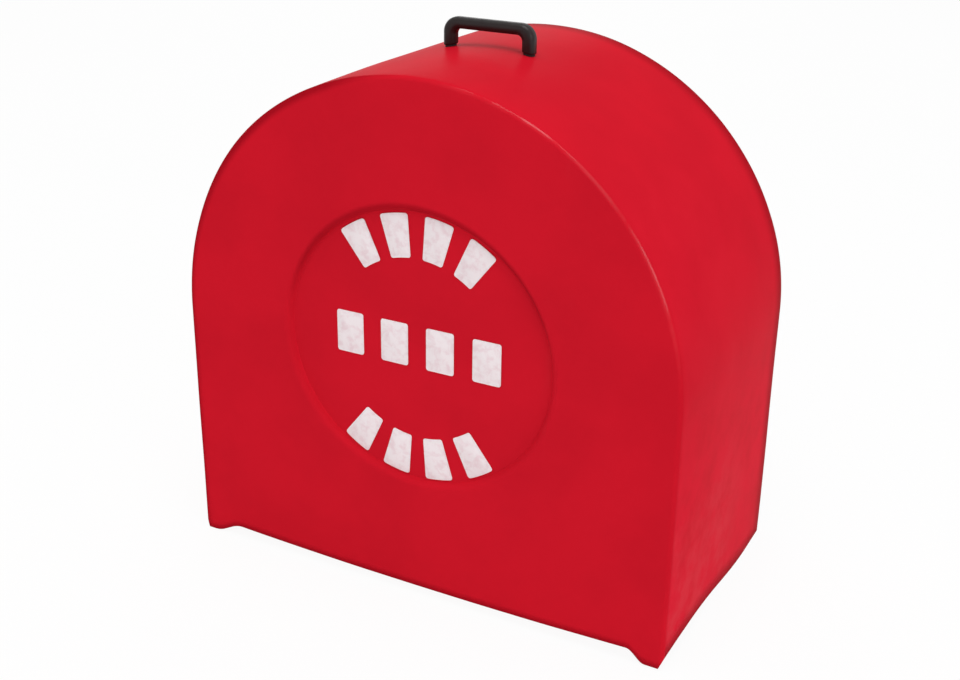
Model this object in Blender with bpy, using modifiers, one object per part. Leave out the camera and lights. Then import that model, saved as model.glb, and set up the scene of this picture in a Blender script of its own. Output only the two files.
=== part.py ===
"""Fire hose reel cover: a one-piece moulded shell, a bridge handle with its fasteners, and plain panel marks.

Metres, +Z up. The front faces -Y, +X is to the viewer's right, and the origin is the middle of the footprint.
"""

import math

import bmesh
import bpy
from mathutils import Matrix

# Shell
WIDTH = 0.650
HEIGHT = 0.642
DEPTH = 0.350
WALL = 0.004
EDGE_RADIUS = 0.0055
EDGE_STEPS = 4
ARCH_STEPS = 96
LIP_WIDTH = 0.022
LIP_THICKNESS = 0.004

# Sunk round panel on the front: a flat floor inside a broad shoulder, a little wider than high
PANEL_RADIUS = 0.168
PANEL_STRETCH = 0.016
PANEL_HEIGHT = 0.323
PANEL_DEPTH = 0.008
SHOULDER_RADIUS = 0.016
SHOULDER_START = math.radians(8)
SHOULDER_STEPS = 6
PANEL_STEPS = 80

# Feet, and the raised edges between them
FRONT_RISE = 0.0135
FRONT_FOOT = 0.022
FRONT_SLOPE = 0.036
SIDE_RISE = 0.0155
SIDE_FRONT_SLOPE = 0.006
SIDE_REAR_FOOT = 0.075
SIDE_REAR_SLOPE = 0.155
SLOPE_STEPS = 8

# Bridge handle
HANDLE_SPACING = 0.102
HANDLE_RISE = 0.0315
HANDLE_DEPTH = 0.016
LEG_WIDTH = 0.0155
GRIP_THICKNESS = 0.0135
HANDLE_CORNER = 0.013
HANDLE_INNER_CORNER = 0.005
HANDLE_ROUNDING = 0.0047
CORNER_STEPS = 6

# Handle fasteners, from the seal under each leg down to the screw head inside the shell
SEAL_RADIUS = 0.0068
SEAL_THICKNESS = 0.0015
INSERT_RADIUS = 0.0045
INSERT_LENGTH = 0.015
SADDLE_RADIUS = 0.011
SADDLE_THICKNESS = 0.0015
PENNY_RADIUS = 0.0125
PENNY_THICKNESS = 0.0015
SPRING_RADIUS = 0.0056
SPRING_THICKNESS = 0.0016
SPRING_SLIT = 0.0012
SPRING_SLIT_ANGLE = math.radians(25)
SCREW_RADIUS = 0.003
SCREW_LENGTH = 0.025
SCREW_TIP = 0.0008
HEAD_FLATS = 0.010
HEAD_HEIGHT = 0.004
HOLE_CLEARANCE = 0.0005
ROUND_STEPS = 32

# White marks on the panel: two arcs of blocks, and a straight row between them
MARK_COUNT = 4
MARK_THICKNESS = 0.001
MARK_CORNER = 0.003
ARC_MARK_LENGTH = 0.052
ARC_MARK_MARGIN = 0.005
ARC_MARK_ANGLE = math.radians(13)
ARC_MARK_PITCH = math.radians(21)
ROW_MARK_WIDTH = 0.036
ROW_MARK_HEIGHT = 0.052
ROW_MARK_PITCH = 0.060
ROW_RISE = 0.004
MARK_CORNER_STEPS = 4
MARK_EDGE_STEPS = 4

# Clearance between pieces that touch, and how far a cutter passes what it cuts
GAP = 0.0003
PASS = 0.010

# Points nearer than this are one point, faces turned less than this are one face, and sharper edges stay edges
WELD = 1e-5
FLAT_ANGLE = math.radians(0.1)
SHARP_ANGLE = math.radians(30)

QUARTER = math.pi / 2

ARCH_RADIUS = WIDTH / 2
ARCH_HEIGHT = HEIGHT - ARCH_RADIUS
FRONT = -DEPTH / 2
REAR = DEPTH / 2
SEAL_TOP = ARCH_RADIUS + GAP + SEAL_THICKNESS
SHOULDER_TURN = math.acos(1 - PANEL_DEPTH / SHOULDER_RADIUS)
SHOULDER_REACH = SHOULDER_RADIUS * math.sin(SHOULDER_TURN)


def clear_scene():
    for item in list(bpy.data.objects):
        bpy.data.objects.remove(item, do_unlink=True)


def new_collection(name):
    collection = bpy.data.collections.new(name)
    bpy.context.scene.collection.children.link(collection)
    return collection


def material(name, colour, roughness, metallic=0.0):
    made = bpy.data.materials.new(name)
    made.use_nodes = True
    shader = made.node_tree.nodes["Principled BSDF"]
    shader.inputs["Base Color"].default_value = (*colour, 1.0)
    shader.inputs["Roughness"].default_value = roughness
    shader.inputs["Metallic"].default_value = metallic
    return made


def add_object(name, mesh, collection):
    made = bpy.data.objects.new(name, mesh)
    collection.objects.link(made)
    return made


def evaluated_mesh(source):
    graph = bpy.context.evaluated_depsgraph_get()
    return bpy.data.meshes.new_from_object(source.evaluated_get(graph))


def settle(piece, finish):
    """Turns the piece's modifiers into its mesh, gives it its material and shades its round faces smooth."""
    mesh = evaluated_mesh(piece)
    piece.modifiers.clear()
    piece.data = mesh
    mesh.name = piece.name
    mesh.materials.clear()
    mesh.materials.append(finish)
    mesh.shade_smooth()
    mesh.set_sharp_from_angle(angle=SHARP_ANGLE)
    return piece


def boolean(piece, other, operation):
    modifier = piece.modifiers.new(f"{operation.lower()} {other.name}", "BOOLEAN")
    modifier.operation = operation
    modifier.solver = "EXACT"
    modifier.object = other
    other.hide_render = True
    other.display_type = "WIRE"


def round_edges(piece, width, steps):
    modifier = piece.modifiers.new("rounded edges", "BEVEL")
    modifier.width = width
    modifier.segments = steps
    modifier.limit_method = "ANGLE"
    modifier.angle_limit = SHARP_ANGLE
    modifier.use_clamp_overlap = False


def plate(name, outline, thickness, collection):
    """A solid with this outline in X and Z, reaching evenly to both sides of its own y = 0."""
    curve = bpy.data.curves.new(name, "CURVE")
    curve.dimensions = "2D"
    curve.fill_mode = "BOTH"
    curve.extrude = thickness / 2
    spline = curve.splines.new("POLY")
    spline.points.add(len(outline) - 1)
    for point, (x, z) in zip(spline.points, outline):
        point.co = (x, z, 0.0, 1.0)
    spline.use_cyclic_u = True
    guide = add_object(f"{name} outline", curve, collection)
    mesh = evaluated_mesh(guide)
    bpy.data.objects.remove(guide)
    mesh.transform(Matrix.Rotation(QUARTER, 4, "X"))
    work = bmesh.new()
    work.from_mesh(mesh)
    bmesh.ops.remove_doubles(work, verts=work.verts, dist=WELD)
    bmesh.ops.dissolve_limit(work, angle_limit=FLAT_ANGLE, verts=work.verts, edges=work.edges)
    bmesh.ops.recalc_face_normals(work, faces=work.faces)
    work.to_mesh(mesh)
    work.free()
    return add_object(name, mesh, collection)


def box(name, size, centre, collection):
    work = bmesh.new()
    bmesh.ops.create_cube(work, size=1.0)
    bmesh.ops.scale(work, vec=size, verts=work.verts)
    mesh = bpy.data.meshes.new(name)
    work.to_mesh(mesh)
    work.free()
    made = add_object(name, mesh, collection)
    made.location = centre
    return made


def cylinder(name, radius, bottom, top, collection, steps=ROUND_STEPS, end_radius=None):
    """A cylinder or cone standing on its own Z axis."""
    work = bmesh.new()
    bmesh.ops.create_cone(
        work,
        cap_ends=True,
        segments=steps,
        radius1=radius,
        radius2=radius if end_radius is None else end_radius,
        depth=top - bottom,
    )
    bmesh.ops.translate(work, vec=(0.0, 0.0, (top + bottom) / 2), verts=work.verts)
    mesh = bpy.data.meshes.new(name)
    work.to_mesh(mesh)
    work.free()
    return add_object(name, mesh, collection)


def turned(name, profile, steps, collection, closed=False):
    """A profile of (radius, height) points, running down its outer side, turned about its own Z axis."""
    work = bmesh.new()
    points = [work.verts.new((radius, 0.0, height)) for radius, height in profile]
    for first, second in zip(points, points[1:]):
        work.edges.new((first, second))
    if closed:
        work.edges.new((points[-1], points[0]))
    mesh = bpy.data.meshes.new(name)
    work.to_mesh(mesh)
    work.free()
    made = add_object(name, mesh, collection)
    screw = made.modifiers.new("turned", "SCREW")
    screw.axis = "Z"
    screw.steps = steps
    screw.render_steps = steps
    screw.use_merge_vertices = True
    screw.merge_threshold = WELD
    return made


def ring(name, inner, outer, bottom, top, collection):
    profile = [(outer, top), (outer, bottom), (inner, bottom), (inner, top)]
    return turned(name, profile, ROUND_STEPS, collection, closed=True)


def arc(centre, radius, start, end, steps):
    """Points on an arc in X and Z, from the start angle to the end angle."""
    angles = [start + (end - start) * step / steps for step in range(steps + 1)]
    return [(centre[0] + radius * math.cos(a), centre[1] + radius * math.sin(a)) for a in angles]


def arched_outline(inset, below):
    """Straight sides and a round top, drawn in from the shell's outside by inset and reaching below the floor."""
    half = WIDTH / 2 - inset
    top = arc((0.0, ARCH_HEIGHT), half, 0.0, math.pi, ARCH_STEPS)
    return [(half, -below), *top, (-half, -below)]


def arched_block(name, inset, below, front, rear, collection):
    made = plate(name, arched_outline(inset, below), rear - front, collection)
    made.location.y = (front + rear) / 2
    return made


def arch_cylinder(name, radius, collection):
    """A cylinder on the arch's own axis, for pieces that follow the arch."""
    length = HANDLE_DEPTH + 2 * PENNY_RADIUS
    made = cylinder(name, radius, -length / 2, length / 2, collection, steps=2 * ARCH_STEPS)
    made.rotation_euler.x = QUARTER
    made.location.z = ARCH_HEIGHT
    return made


def arch_surface(radius, x):
    """Height at x of a cylinder of this radius on the arch's axis."""
    return ARCH_HEIGHT + math.sqrt(radius**2 - x**2)


def raised_edge(start, start_slope, end, end_slope, rise):
    """Outline of the space under a raised edge: level, with an easy slope down to the foot at each end."""
    shares = [step / SLOPE_STEPS for step in range(SLOPE_STEPS + 1)]
    eased = [(share, rise * (1 - math.cos(math.pi * share)) / 2) for share in shares]
    up = [(start + start_slope * share, height) for share, height in eased]
    down = [(end - end_slope * share, height) for share, height in reversed(eased)]
    return [(end, -PASS), (start, -PASS), *up, *down]


def put_on_front(made):
    """Turns what stands on its own axis to lie behind the front face, about the sunk panel's middle."""
    made.rotation_euler.x = QUARTER
    made.scale = (1 + PANEL_STRETCH, 1 - PANEL_STRETCH, 1.0)
    made.location = (0.0, FRONT, PANEL_HEIGHT)
    return made


def panel_space(cutters):
    """The sunk panel's space: a broad round shoulder that meets a flat floor."""
    centre = (PANEL_RADIUS + SHOULDER_REACH, -SHOULDER_RADIUS)
    shoulder = arc(centre, SHOULDER_RADIUS, QUARTER + SHOULDER_START, QUARTER + SHOULDER_TURN, SHOULDER_STEPS)
    start, drop = shoulder[0]
    mouth = start + (GAP - drop) / math.tan(SHOULDER_START)
    profile = [(0.0, GAP), (mouth, GAP), *shoulder, (0.0, -PANEL_DEPTH)]
    return put_on_front(turned("panel space", profile, PANEL_STEPS, cutters))


def panel_backing(cutters):
    """The shell's wall carried round behind the sunk panel."""
    made = cylinder(
        "panel backing",
        PANEL_RADIUS + WALL,
        -PANEL_DEPTH - WALL,
        -WALL / 2,
        cutters,
        steps=PANEL_STEPS,
        end_radius=PANEL_RADIUS + SHOULDER_REACH + WALL,
    )
    return put_on_front(made)


def base_gaps(cutters):
    """What is cut away under the front wall and under each side wall, between the feet."""
    reach = WIDTH / 2 - FRONT_FOOT
    front_gap = plate(
        "front edge gap",
        raised_edge(-reach, FRONT_SLOPE, reach, FRONT_SLOPE, FRONT_RISE),
        2 * (EDGE_RADIUS + PASS),
        cutters,
    )
    front_gap.location.y = FRONT
    gaps = [front_gap]
    for side in (-1, 1):
        side_gap = plate(
            f"side edge gap {side}",
            raised_edge(FRONT, SIDE_FRONT_SLOPE, REAR - SIDE_REAR_FOOT, SIDE_REAR_SLOPE, SIDE_RISE),
            EDGE_RADIUS + PASS,
            cutters,
        )
        side_gap.rotation_euler.z = QUARTER
        side_gap.location.x = side * (WIDTH / 2 - EDGE_RADIUS + (EDGE_RADIUS + PASS) / 2)
        gaps.append(side_gap)
    return gaps


def screw_hole(side, cutters):
    hole = cylinder(
        f"screw hole {side}",
        SCREW_RADIUS + HOLE_CLEARANCE,
        ARCH_HEIGHT + ARCH_RADIUS - WALL - 2 * PASS,
        HEIGHT + PASS,
        cutters,
    )
    hole.location.x = side * HANDLE_SPACING / 2
    return hole


def cover_shell(parts, cutters, finish):
    blank = arched_block("cover_shell", 0.0, 2 * PASS, FRONT, REAR + 2 * PASS, parts)
    round_edges(blank, EDGE_RADIUS, EDGE_STEPS)
    cavity = arched_block("cavity", WALL, 4 * PASS, FRONT + WALL, REAR - LIP_THICKNESS, cutters)
    round_edges(cavity, EDGE_RADIUS - WALL, EDGE_STEPS)
    opening = arched_block("rear opening", LIP_WIDTH, 4 * PASS, REAR - LIP_THICKNESS - PASS, REAR + PASS, cutters)
    wide = 2 * WIDTH
    rear_trim = box("rear trim", (wide, wide, 2 * HEIGHT), (0.0, REAR + wide / 2, HEIGHT / 2), cutters)
    base_trim = box("base trim", (wide, wide, wide), (0.0, 0.0, -wide / 2), cutters)
    boolean(blank, rear_trim, "DIFFERENCE")
    boolean(blank, cavity, "DIFFERENCE")
    boolean(blank, opening, "DIFFERENCE")
    boolean(blank, panel_backing(cutters), "UNION")
    boolean(blank, panel_space(cutters), "DIFFERENCE")
    boolean(blank, base_trim, "DIFFERENCE")
    for cutter in [*base_gaps(cutters), screw_hole(-1, cutters), screw_hole(1, cutters)]:
        boolean(blank, cutter, "DIFFERENCE")
    return settle(blank, finish)


def handle_outline():
    """The handle seen from the front: two legs that reach into the arch, round shoulders and a straight grip."""
    outer = (HANDLE_SPACING + LEG_WIDTH) / 2
    inner = (HANDLE_SPACING - LEG_WIDTH) / 2
    foot = arch_surface(ARCH_RADIUS, outer) - PASS
    top = HEIGHT + HANDLE_RISE
    under = top - GRIP_THICKNESS
    shoulder = outer - HANDLE_CORNER
    armpit = inner - HANDLE_INNER_CORNER
    outside_right = arc((shoulder, top - HANDLE_CORNER), HANDLE_CORNER, 0.0, QUARTER, CORNER_STEPS)
    outside_left = arc((-shoulder, top - HANDLE_CORNER), HANDLE_CORNER, QUARTER, 2 * QUARTER, CORNER_STEPS)
    low = under - HANDLE_INNER_CORNER
    inside_left = arc((-armpit, low), HANDLE_INNER_CORNER, 2 * QUARTER, QUARTER, CORNER_STEPS)
    inside_right = arc((armpit, low), HANDLE_INNER_CORNER, QUARTER, 0.0, CORNER_STEPS)
    return [
        (outer, foot),
        *outside_right,
        *outside_left,
        (-outer, foot),
        (-inner, foot),
        *inside_left,
        *inside_right,
        (inner, foot),
    ]


def insert_bottom():
    """The insert ends level, just inside the leg's slanting foot."""
    return arch_surface(SEAL_TOP + GAP, HANDLE_SPACING / 2 - INSERT_RADIUS)


def carry_handle(parts, cutters, finish):
    handle = plate("carry_handle", handle_outline(), HANDLE_DEPTH, parts)
    round_edges(handle, HANDLE_ROUNDING, EDGE_STEPS)
    boolean(handle, arch_cylinder("handle foot cut", SEAL_TOP + GAP, cutters), "DIFFERENCE")
    for side in (-1, 1):
        bore = cylinder(
            f"insert bore {side}",
            INSERT_RADIUS + GAP,
            insert_bottom() - PASS,
            insert_bottom() + INSERT_LENGTH + GAP,
            cutters,
        )
        bore.location.x = side * HANDLE_SPACING / 2
        boolean(handle, bore, "DIFFERENCE")
    return settle(handle, finish)


def handle_seal(side, end, parts, cutters, finish):
    """Rubber ring between the leg and the arch, following the arch on both faces."""
    low = arch_surface(ARCH_RADIUS, (HANDLE_SPACING + LEG_WIDTH) / 2) - PASS
    seal = ring(f"handle_seal_{end}", SCREW_RADIUS + HOLE_CLEARANCE, SEAL_RADIUS, low, HEIGHT + PASS, parts)
    seal.location.x = side * HANDLE_SPACING / 2
    boolean(seal, arch_cylinder(f"seal underside {end}", ARCH_RADIUS + GAP, cutters), "DIFFERENCE")
    boolean(seal, arch_cylinder(f"seal top {end}", SEAL_TOP, cutters), "INTERSECT")
    return settle(seal, finish)


def handle_insert(side, end, parts, finish):
    low = insert_bottom()
    insert = ring(f"handle_insert_{end}", SCREW_RADIUS + GAP, INSERT_RADIUS, low, low + INSERT_LENGTH, parts)
    insert.location.x = side * HANDLE_SPACING / 2
    return settle(insert, finish)


def saddle_bottom():
    under_wall = ARCH_RADIUS - WALL - GAP
    return arch_surface(under_wall, HANDLE_SPACING / 2 + SADDLE_RADIUS) - SADDLE_THICKNESS


def saddle_washer(side, end, parts, cutters, finish):
    """Washer that is curved on top to lie against the arch, and flat below for the wide washer."""
    hole = SCREW_RADIUS + HOLE_CLEARANCE
    saddle = ring(f"saddle_washer_{end}", hole, SADDLE_RADIUS, saddle_bottom(), HEIGHT + PASS, parts)
    saddle.location.x = side * HANDLE_SPACING / 2
    boolean(saddle, arch_cylinder(f"saddle top {end}", ARCH_RADIUS - WALL - GAP, cutters), "INTERSECT")
    return settle(saddle, finish)


def penny_bottom():
    return saddle_bottom() - GAP - PENNY_THICKNESS


def penny_washer(side, end, parts, finish):
    hole = SCREW_RADIUS + HOLE_CLEARANCE
    washer = ring(f"penny_washer_{end}", hole, PENNY_RADIUS, penny_bottom(), penny_bottom() + PENNY_THICKNESS, parts)
    washer.location.x = side * HANDLE_SPACING / 2
    return settle(washer, finish)


def spring_bottom():
    return penny_bottom() - GAP - SPRING_THICKNESS


def spring_washer(side, end, parts, cutters, finish):
    """Split washer: a ring with a slanting slit through its front."""
    low = spring_bottom()
    hole = SCREW_RADIUS + GAP
    washer = ring(f"spring_washer_{end}", hole, SPRING_RADIUS, low, low + SPRING_THICKNESS, parts)
    washer.location.x = side * HANDLE_SPACING / 2
    slit = box(
        f"washer slit {end}",
        (SPRING_SLIT, SPRING_RADIUS, 4 * SPRING_THICKNESS),
        (side * HANDLE_SPACING / 2, -SPRING_RADIUS, low + SPRING_THICKNESS / 2),
        cutters,
    )
    slit.rotation_euler.y = SPRING_SLIT_ANGLE
    boolean(washer, slit, "DIFFERENCE")
    return settle(washer, finish)


def handle_screw(side, end, parts, cutters, finish):
    """Hexagon-head screw standing head down, with its shank up through the washers into the insert."""
    seat = spring_bottom() - GAP
    head_radius = HEAD_FLATS / 2 / math.cos(math.radians(30))
    screw = cylinder(f"handle_screw_{end}", head_radius, seat - HEAD_HEIGHT, seat, parts, steps=6)
    screw.location.x = side * HANDLE_SPACING / 2
    shoulder = seat + SCREW_LENGTH - SCREW_TIP
    shank = cylinder(f"shank {end}", SCREW_RADIUS, seat - HEAD_HEIGHT / 2, shoulder, cutters)
    shank.location = screw.location
    tip = cylinder(
        f"shank tip {end}",
        SCREW_RADIUS,
        shoulder - GAP,
        seat + SCREW_LENGTH,
        cutters,
        end_radius=SCREW_RADIUS - SCREW_TIP,
    )
    tip.location = screw.location
    boolean(screw, shank, "UNION")
    boolean(screw, tip, "UNION")
    return settle(screw, finish)


def rounded_block(width, height):
    """Outline of a rounded rectangle about (0, 0), with points along its sides so that it can be bent."""
    across = width / 2 - MARK_CORNER
    up = height / 2 - MARK_CORNER
    outline = []
    corners = [(across, up), (-across, up), (-across, -up), (across, -up)]
    for turn, corner in enumerate(corners):
        outline += arc(corner, MARK_CORNER, turn * QUARTER, (turn + 1) * QUARTER, MARK_CORNER_STEPS)
        start = outline[-1]
        end = arc(corners[(turn + 1) % 4], MARK_CORNER, (turn + 1) * QUARTER, (turn + 1) * QUARTER, 1)[0]
        for step in range(1, MARK_EDGE_STEPS):
            share = step / MARK_EDGE_STEPS
            outline.append((start[0] + (end[0] - start[0]) * share, start[1] + (end[1] - start[1]) * share))
    return outline


def bent_block(angle):
    """The rounded block bent round the panel's centre, standing on the ray at this angle from straight up."""
    middle = PANEL_RADIUS - ARC_MARK_MARGIN - ARC_MARK_LENGTH / 2
    points = []
    for x, z in rounded_block(ARC_MARK_ANGLE * middle, ARC_MARK_LENGTH):
        turn = angle + x / middle
        points.append(((middle + z) * math.sin(turn), (middle + z) * math.cos(turn)))
    return points


def panel_mark(name, outline, rise, parts, finish):
    mark = plate(name, outline, MARK_THICKNESS, parts)
    mark.location = (0.0, FRONT + PANEL_DEPTH - GAP - MARK_THICKNESS / 2, PANEL_HEIGHT + rise)
    return settle(mark, finish)


def panel_marks(parts, finish):
    for number in range(1, MARK_COUNT + 1):
        offset = number - (MARK_COUNT + 1) / 2
        angle = offset * ARC_MARK_PITCH
        panel_mark(f"mark_upper_{number}", bent_block(angle), 0.0, parts, finish)
        panel_mark(f"mark_lower_{number}", bent_block(math.pi - angle), 0.0, parts, finish)
        block = rounded_block(ROW_MARK_WIDTH, ROW_MARK_HEIGHT)
        row = [(x + offset * ROW_MARK_PITCH, z) for x, z in block]
        panel_mark(f"mark_centre_{number}", row, ROW_RISE, parts, finish)


def main():
    clear_scene()
    parts = new_collection("fire hose reel cover")
    cutters = new_collection("cutters")
    red_plastic = material("red moulded plastic", (0.60, 0.010, 0.020), 0.35)
    black_plastic = material("black moulded plastic", (0.020, 0.019, 0.020), 0.45)
    rubber = material("black rubber", (0.015, 0.015, 0.015), 0.8)
    brass = material("brass", (0.78, 0.57, 0.26), 0.35, 1.0)
    nylon = material("natural nylon", (0.75, 0.73, 0.66), 0.5)
    zinc = material("zinc plated steel", (0.62, 0.63, 0.65), 0.35, 1.0)
    white_film = material("white film", (0.86, 0.80, 0.81), 0.4)
    cover_shell(parts, cutters, red_plastic)
    carry_handle(parts, cutters, black_plastic)
    for side, end in ((-1, "left"), (1, "right")):
        handle_seal(side, end, parts, cutters, rubber)
        handle_insert(side, end, parts, brass)
        saddle_washer(side, end, parts, cutters, nylon)
        penny_washer(side, end, parts, zinc)
        spring_washer(side, end, parts, cutters, zinc)
        handle_screw(side, end, parts, cutters, zinc)
    panel_marks(parts, white_film)


main()
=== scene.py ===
"""Fire hose reel cover in red moulded plastic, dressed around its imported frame.

Metres, +Z up. The front faces -Y, +X is to the viewer's right, and the origin is the middle of the footprint.
"""

import math

import bmesh
import bpy
from mathutils import Matrix, Vector, noise


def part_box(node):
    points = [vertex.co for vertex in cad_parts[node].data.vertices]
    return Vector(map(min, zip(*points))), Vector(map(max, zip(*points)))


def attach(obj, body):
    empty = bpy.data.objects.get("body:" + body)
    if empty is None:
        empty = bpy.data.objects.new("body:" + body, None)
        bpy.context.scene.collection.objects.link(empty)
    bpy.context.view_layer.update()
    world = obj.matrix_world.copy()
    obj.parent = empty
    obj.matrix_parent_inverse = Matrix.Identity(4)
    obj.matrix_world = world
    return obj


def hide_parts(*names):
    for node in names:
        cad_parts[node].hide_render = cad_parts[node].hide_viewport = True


bl_info = {
    "name": "Fire hose reel cover",
    "version": (1, 0, 0),
    "blender": (4, 5, 0),
    "location": "3D View > Sidebar > Reel Cover",
    "description": "Builds a moulded fire hose reel cover with its carry handle, fasteners and panel marks",
    "category": "Add Mesh",
}

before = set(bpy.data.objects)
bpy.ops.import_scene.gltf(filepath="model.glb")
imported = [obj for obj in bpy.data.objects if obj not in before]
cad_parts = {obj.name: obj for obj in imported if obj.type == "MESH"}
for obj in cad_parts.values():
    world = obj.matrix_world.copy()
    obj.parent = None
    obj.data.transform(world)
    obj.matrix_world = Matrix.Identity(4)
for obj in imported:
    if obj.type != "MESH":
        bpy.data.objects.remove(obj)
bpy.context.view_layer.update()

BODY = "root"
SIDES = (-1, 1)
QUARTER = math.pi / 2
WELD = 1e-5

# The frame's own sizes
SHELL_LOW, SHELL_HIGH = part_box("cover_shell")
WIDTH = SHELL_HIGH.x - SHELL_LOW.x
HEIGHT = SHELL_HIGH.z
FRONT = SHELL_LOW.y
REAR = SHELL_HIGH.y
ARCH_RADIUS = WIDTH / 2
ARCH_HEIGHT = HEIGHT - ARCH_RADIUS
HANDLE_LOW, HANDLE_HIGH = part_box("carry_handle")
SEAL_LOW, SEAL_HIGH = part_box("handle_seal_right")
POST = (SEAL_LOW.x + SEAL_HIGH.x) / 2
PENNY_LOW, PENNY_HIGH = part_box("penny_washer_right")
SPRING_LOW, SPRING_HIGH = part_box("spring_washer_right")
SCREW_LOW, SCREW_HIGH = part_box("handle_screw_right")
SADDLE_LOW, SADDLE_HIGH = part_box("saddle_washer_right")
INSERT_LOW, INSERT_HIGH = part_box("handle_insert_right")
MARK_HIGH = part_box("mark_centre_1")[1]

# Radius about the arch's axis of the handle's feet
FOOT_ARCH = math.hypot(HANDLE_HIGH.x, HANDLE_LOW.z - ARCH_HEIGHT)

# The name of the shell's stored distance from the edges along which it is darker
EDGE_REACH = "edge_reach"

# Edges are rounded where faces meet at more than this angle
SHARP = math.radians(50)

# Steps round a washer, and round each corner of its section
RING_STEPS = 96
CORNER_STEPS = 4

# How far a shape that is cut off or cut out reaches past the piece
OVERCUT = 0.010

# Steps of the handle's shoulders, its edges, the rounding of its feet and its bores
SHOULDER_STEPS = 14
EDGE_STEPS = 8
FOOT_STEPS = 4
BORE_STEPS = 32

WHITE = (1.0, 1.0, 1.0, 1.0)
SENSOR_WIDTH = 36.0

# How far shiny faces see the floor and the air round it as white
GLOSSY_FLOOR = 0.65
GLOSSY_SKY = 0.11


def number(name, description, default, **limits):
    """A number that a user may change."""
    return bpy.props.FloatProperty(name=name, description=description, default=default, **limits)


def length(name, description, default, **limits):
    """A size in metres."""
    return number(name, description, default, subtype="DISTANCE", unit="LENGTH", precision=4, **limits)


def angle(name, description, degrees):
    return number(name, description, math.radians(degrees), subtype="ANGLE", unit="ROTATION")


def factor(name, description, default):
    """A share from 0 to 1."""
    return number(name, description, default, subtype="FACTOR", min=0.0, max=1.0)


def power(name, description, default):
    return number(name, description, default, unit="POWER")


def colour(name, description, default):
    return bpy.props.FloatVectorProperty(
        name=name, description=description, default=default, size=3, subtype="COLOR", min=0.0, max=1.0
    )


class ShellSizes(bpy.types.PropertyGroup):
    wall: length("Wall", "Thickness of the moulded wall", 0.004, min=0.001)
    edge_radius: length("Edge radius", "Rounding between the front face and the band", 0.0052)
    draw_in: length("Draw-in", "How much smaller the front outline is than the rear one", 0.003)
    fullness: length("Fullness", "How much fuller than round the upper left of the front outline is", 0.0028)
    straight_start: length("Straight start", "Depth from the front to where the band gets straight", 0.145)
    rear_radius: length("Rear edge radius", "Rounding of the band's rear edge", 0.0025)
    lip_width: length("Lip width", "How far the rear lip is turned in", 0.022)
    trim_rounding: length("Trimmed edge rounding", "Rounding of the trimmed edges", 0.0008)
    waviness: length("Waviness", "How far the moulded faces wander from true", 0.0007)
    front_rise: length("Front rise", "Height of the front edge in its middle", 0.0117)
    front_sag: length("Front sag", "How much higher the front edge is at its ends than in its middle", 0.0071)
    front_tilt: length("Front tilt", "How much higher the front edge's right end is than its middle", 0.0010)
    left_foot: length("Left foot", "Width of the left front foot", 0.019)
    left_slope: length("Left slope", "Length of the slope beside the left front foot", 0.044)
    left_lift: length("Left lift", "Height of the left front foot over the floor", 0.0004)
    right_foot: length("Right foot", "Width of the right front foot", 0.0245)
    right_slope: length("Right slope", "Length of the slope beside the right front foot", 0.024)
    right_lift: length("Right lift", "Height of the right front foot over the floor", 0.003)
    side_rise: length("Side rise", "Height of the side edges between their feet", 0.0200)
    side_dip: length("Side dip", "How much lower the side edges are at the front corners", 0.0045)
    side_dip_length: length("Side dip length", "Length of that dip behind the front", 0.085)
    side_rear_foot: length("Side rear foot", "Length of each rear foot", 0.050)
    side_rear_slope: length("Side rear slope", "Length of the slope before the rear foot", 0.218)


class RecessSizes(bpy.types.PropertyGroup):
    radius: length("Radius", "Radius of the sunk panel's flat floor", 0.168)
    stretch: factor("Stretch", "How much wider, and lower, than a true circle the panel is", 0.016)
    height: length("Height", "Height of the panel's middle above the floor", 0.323)
    depth: length("Depth", "How deep the panel is sunk", 0.008)
    shoulder: length("Shoulder", "Width of the shoulder that falls to the panel", 0.014)
    steepening: number("Steepening", "How much steeper the shoulder is at its foot than on average", 4.5)
    floor_rounding: length("Floor rounding", "Fillet round the panel's floor", 0.0010)


class HandleSizes(bpy.types.PropertyGroup):
    leg_width: length("Leg width", "Width of each leg from side to side", 0.0155)
    grip_thickness: length("Grip thickness", "Thickness of the grip from top to bottom", 0.0135)
    corner: length("Shoulder radius", "Outer radius of the shoulders", 0.018)
    inner_corner: length("Armpit radius", "Inner radius under the shoulders", 0.0068)
    rounding: length("Edge rounding", "Rounding along the edges of the handle", 0.0060)
    foot_rounding: length("Foot rounding", "Rounding round the foot of each leg", 0.0022)


class FastenerSizes(bpy.types.PropertyGroup):
    gap: length("Gap", "Clearance between pieces that touch", 0.0003)
    hole_radius: length("Hole radius", "Radius of the holes for the screws", 0.0035)
    edge: length("Washer edge", "Rounding of the washers' edges", 0.0003)
    screw_radius: length("Screw radius", "Radius over the screw's thread", 0.003)
    thread_pitch: length("Thread pitch", "Distance between the turns of the thread", 0.001)
    thread_depth: length("Thread depth", "Depth of the thread", 0.0005)
    head_height: length("Head height", "Height of the hexagon head", 0.004)
    split: angle("Split", "Opening of the spring washer", 14.0)


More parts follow.
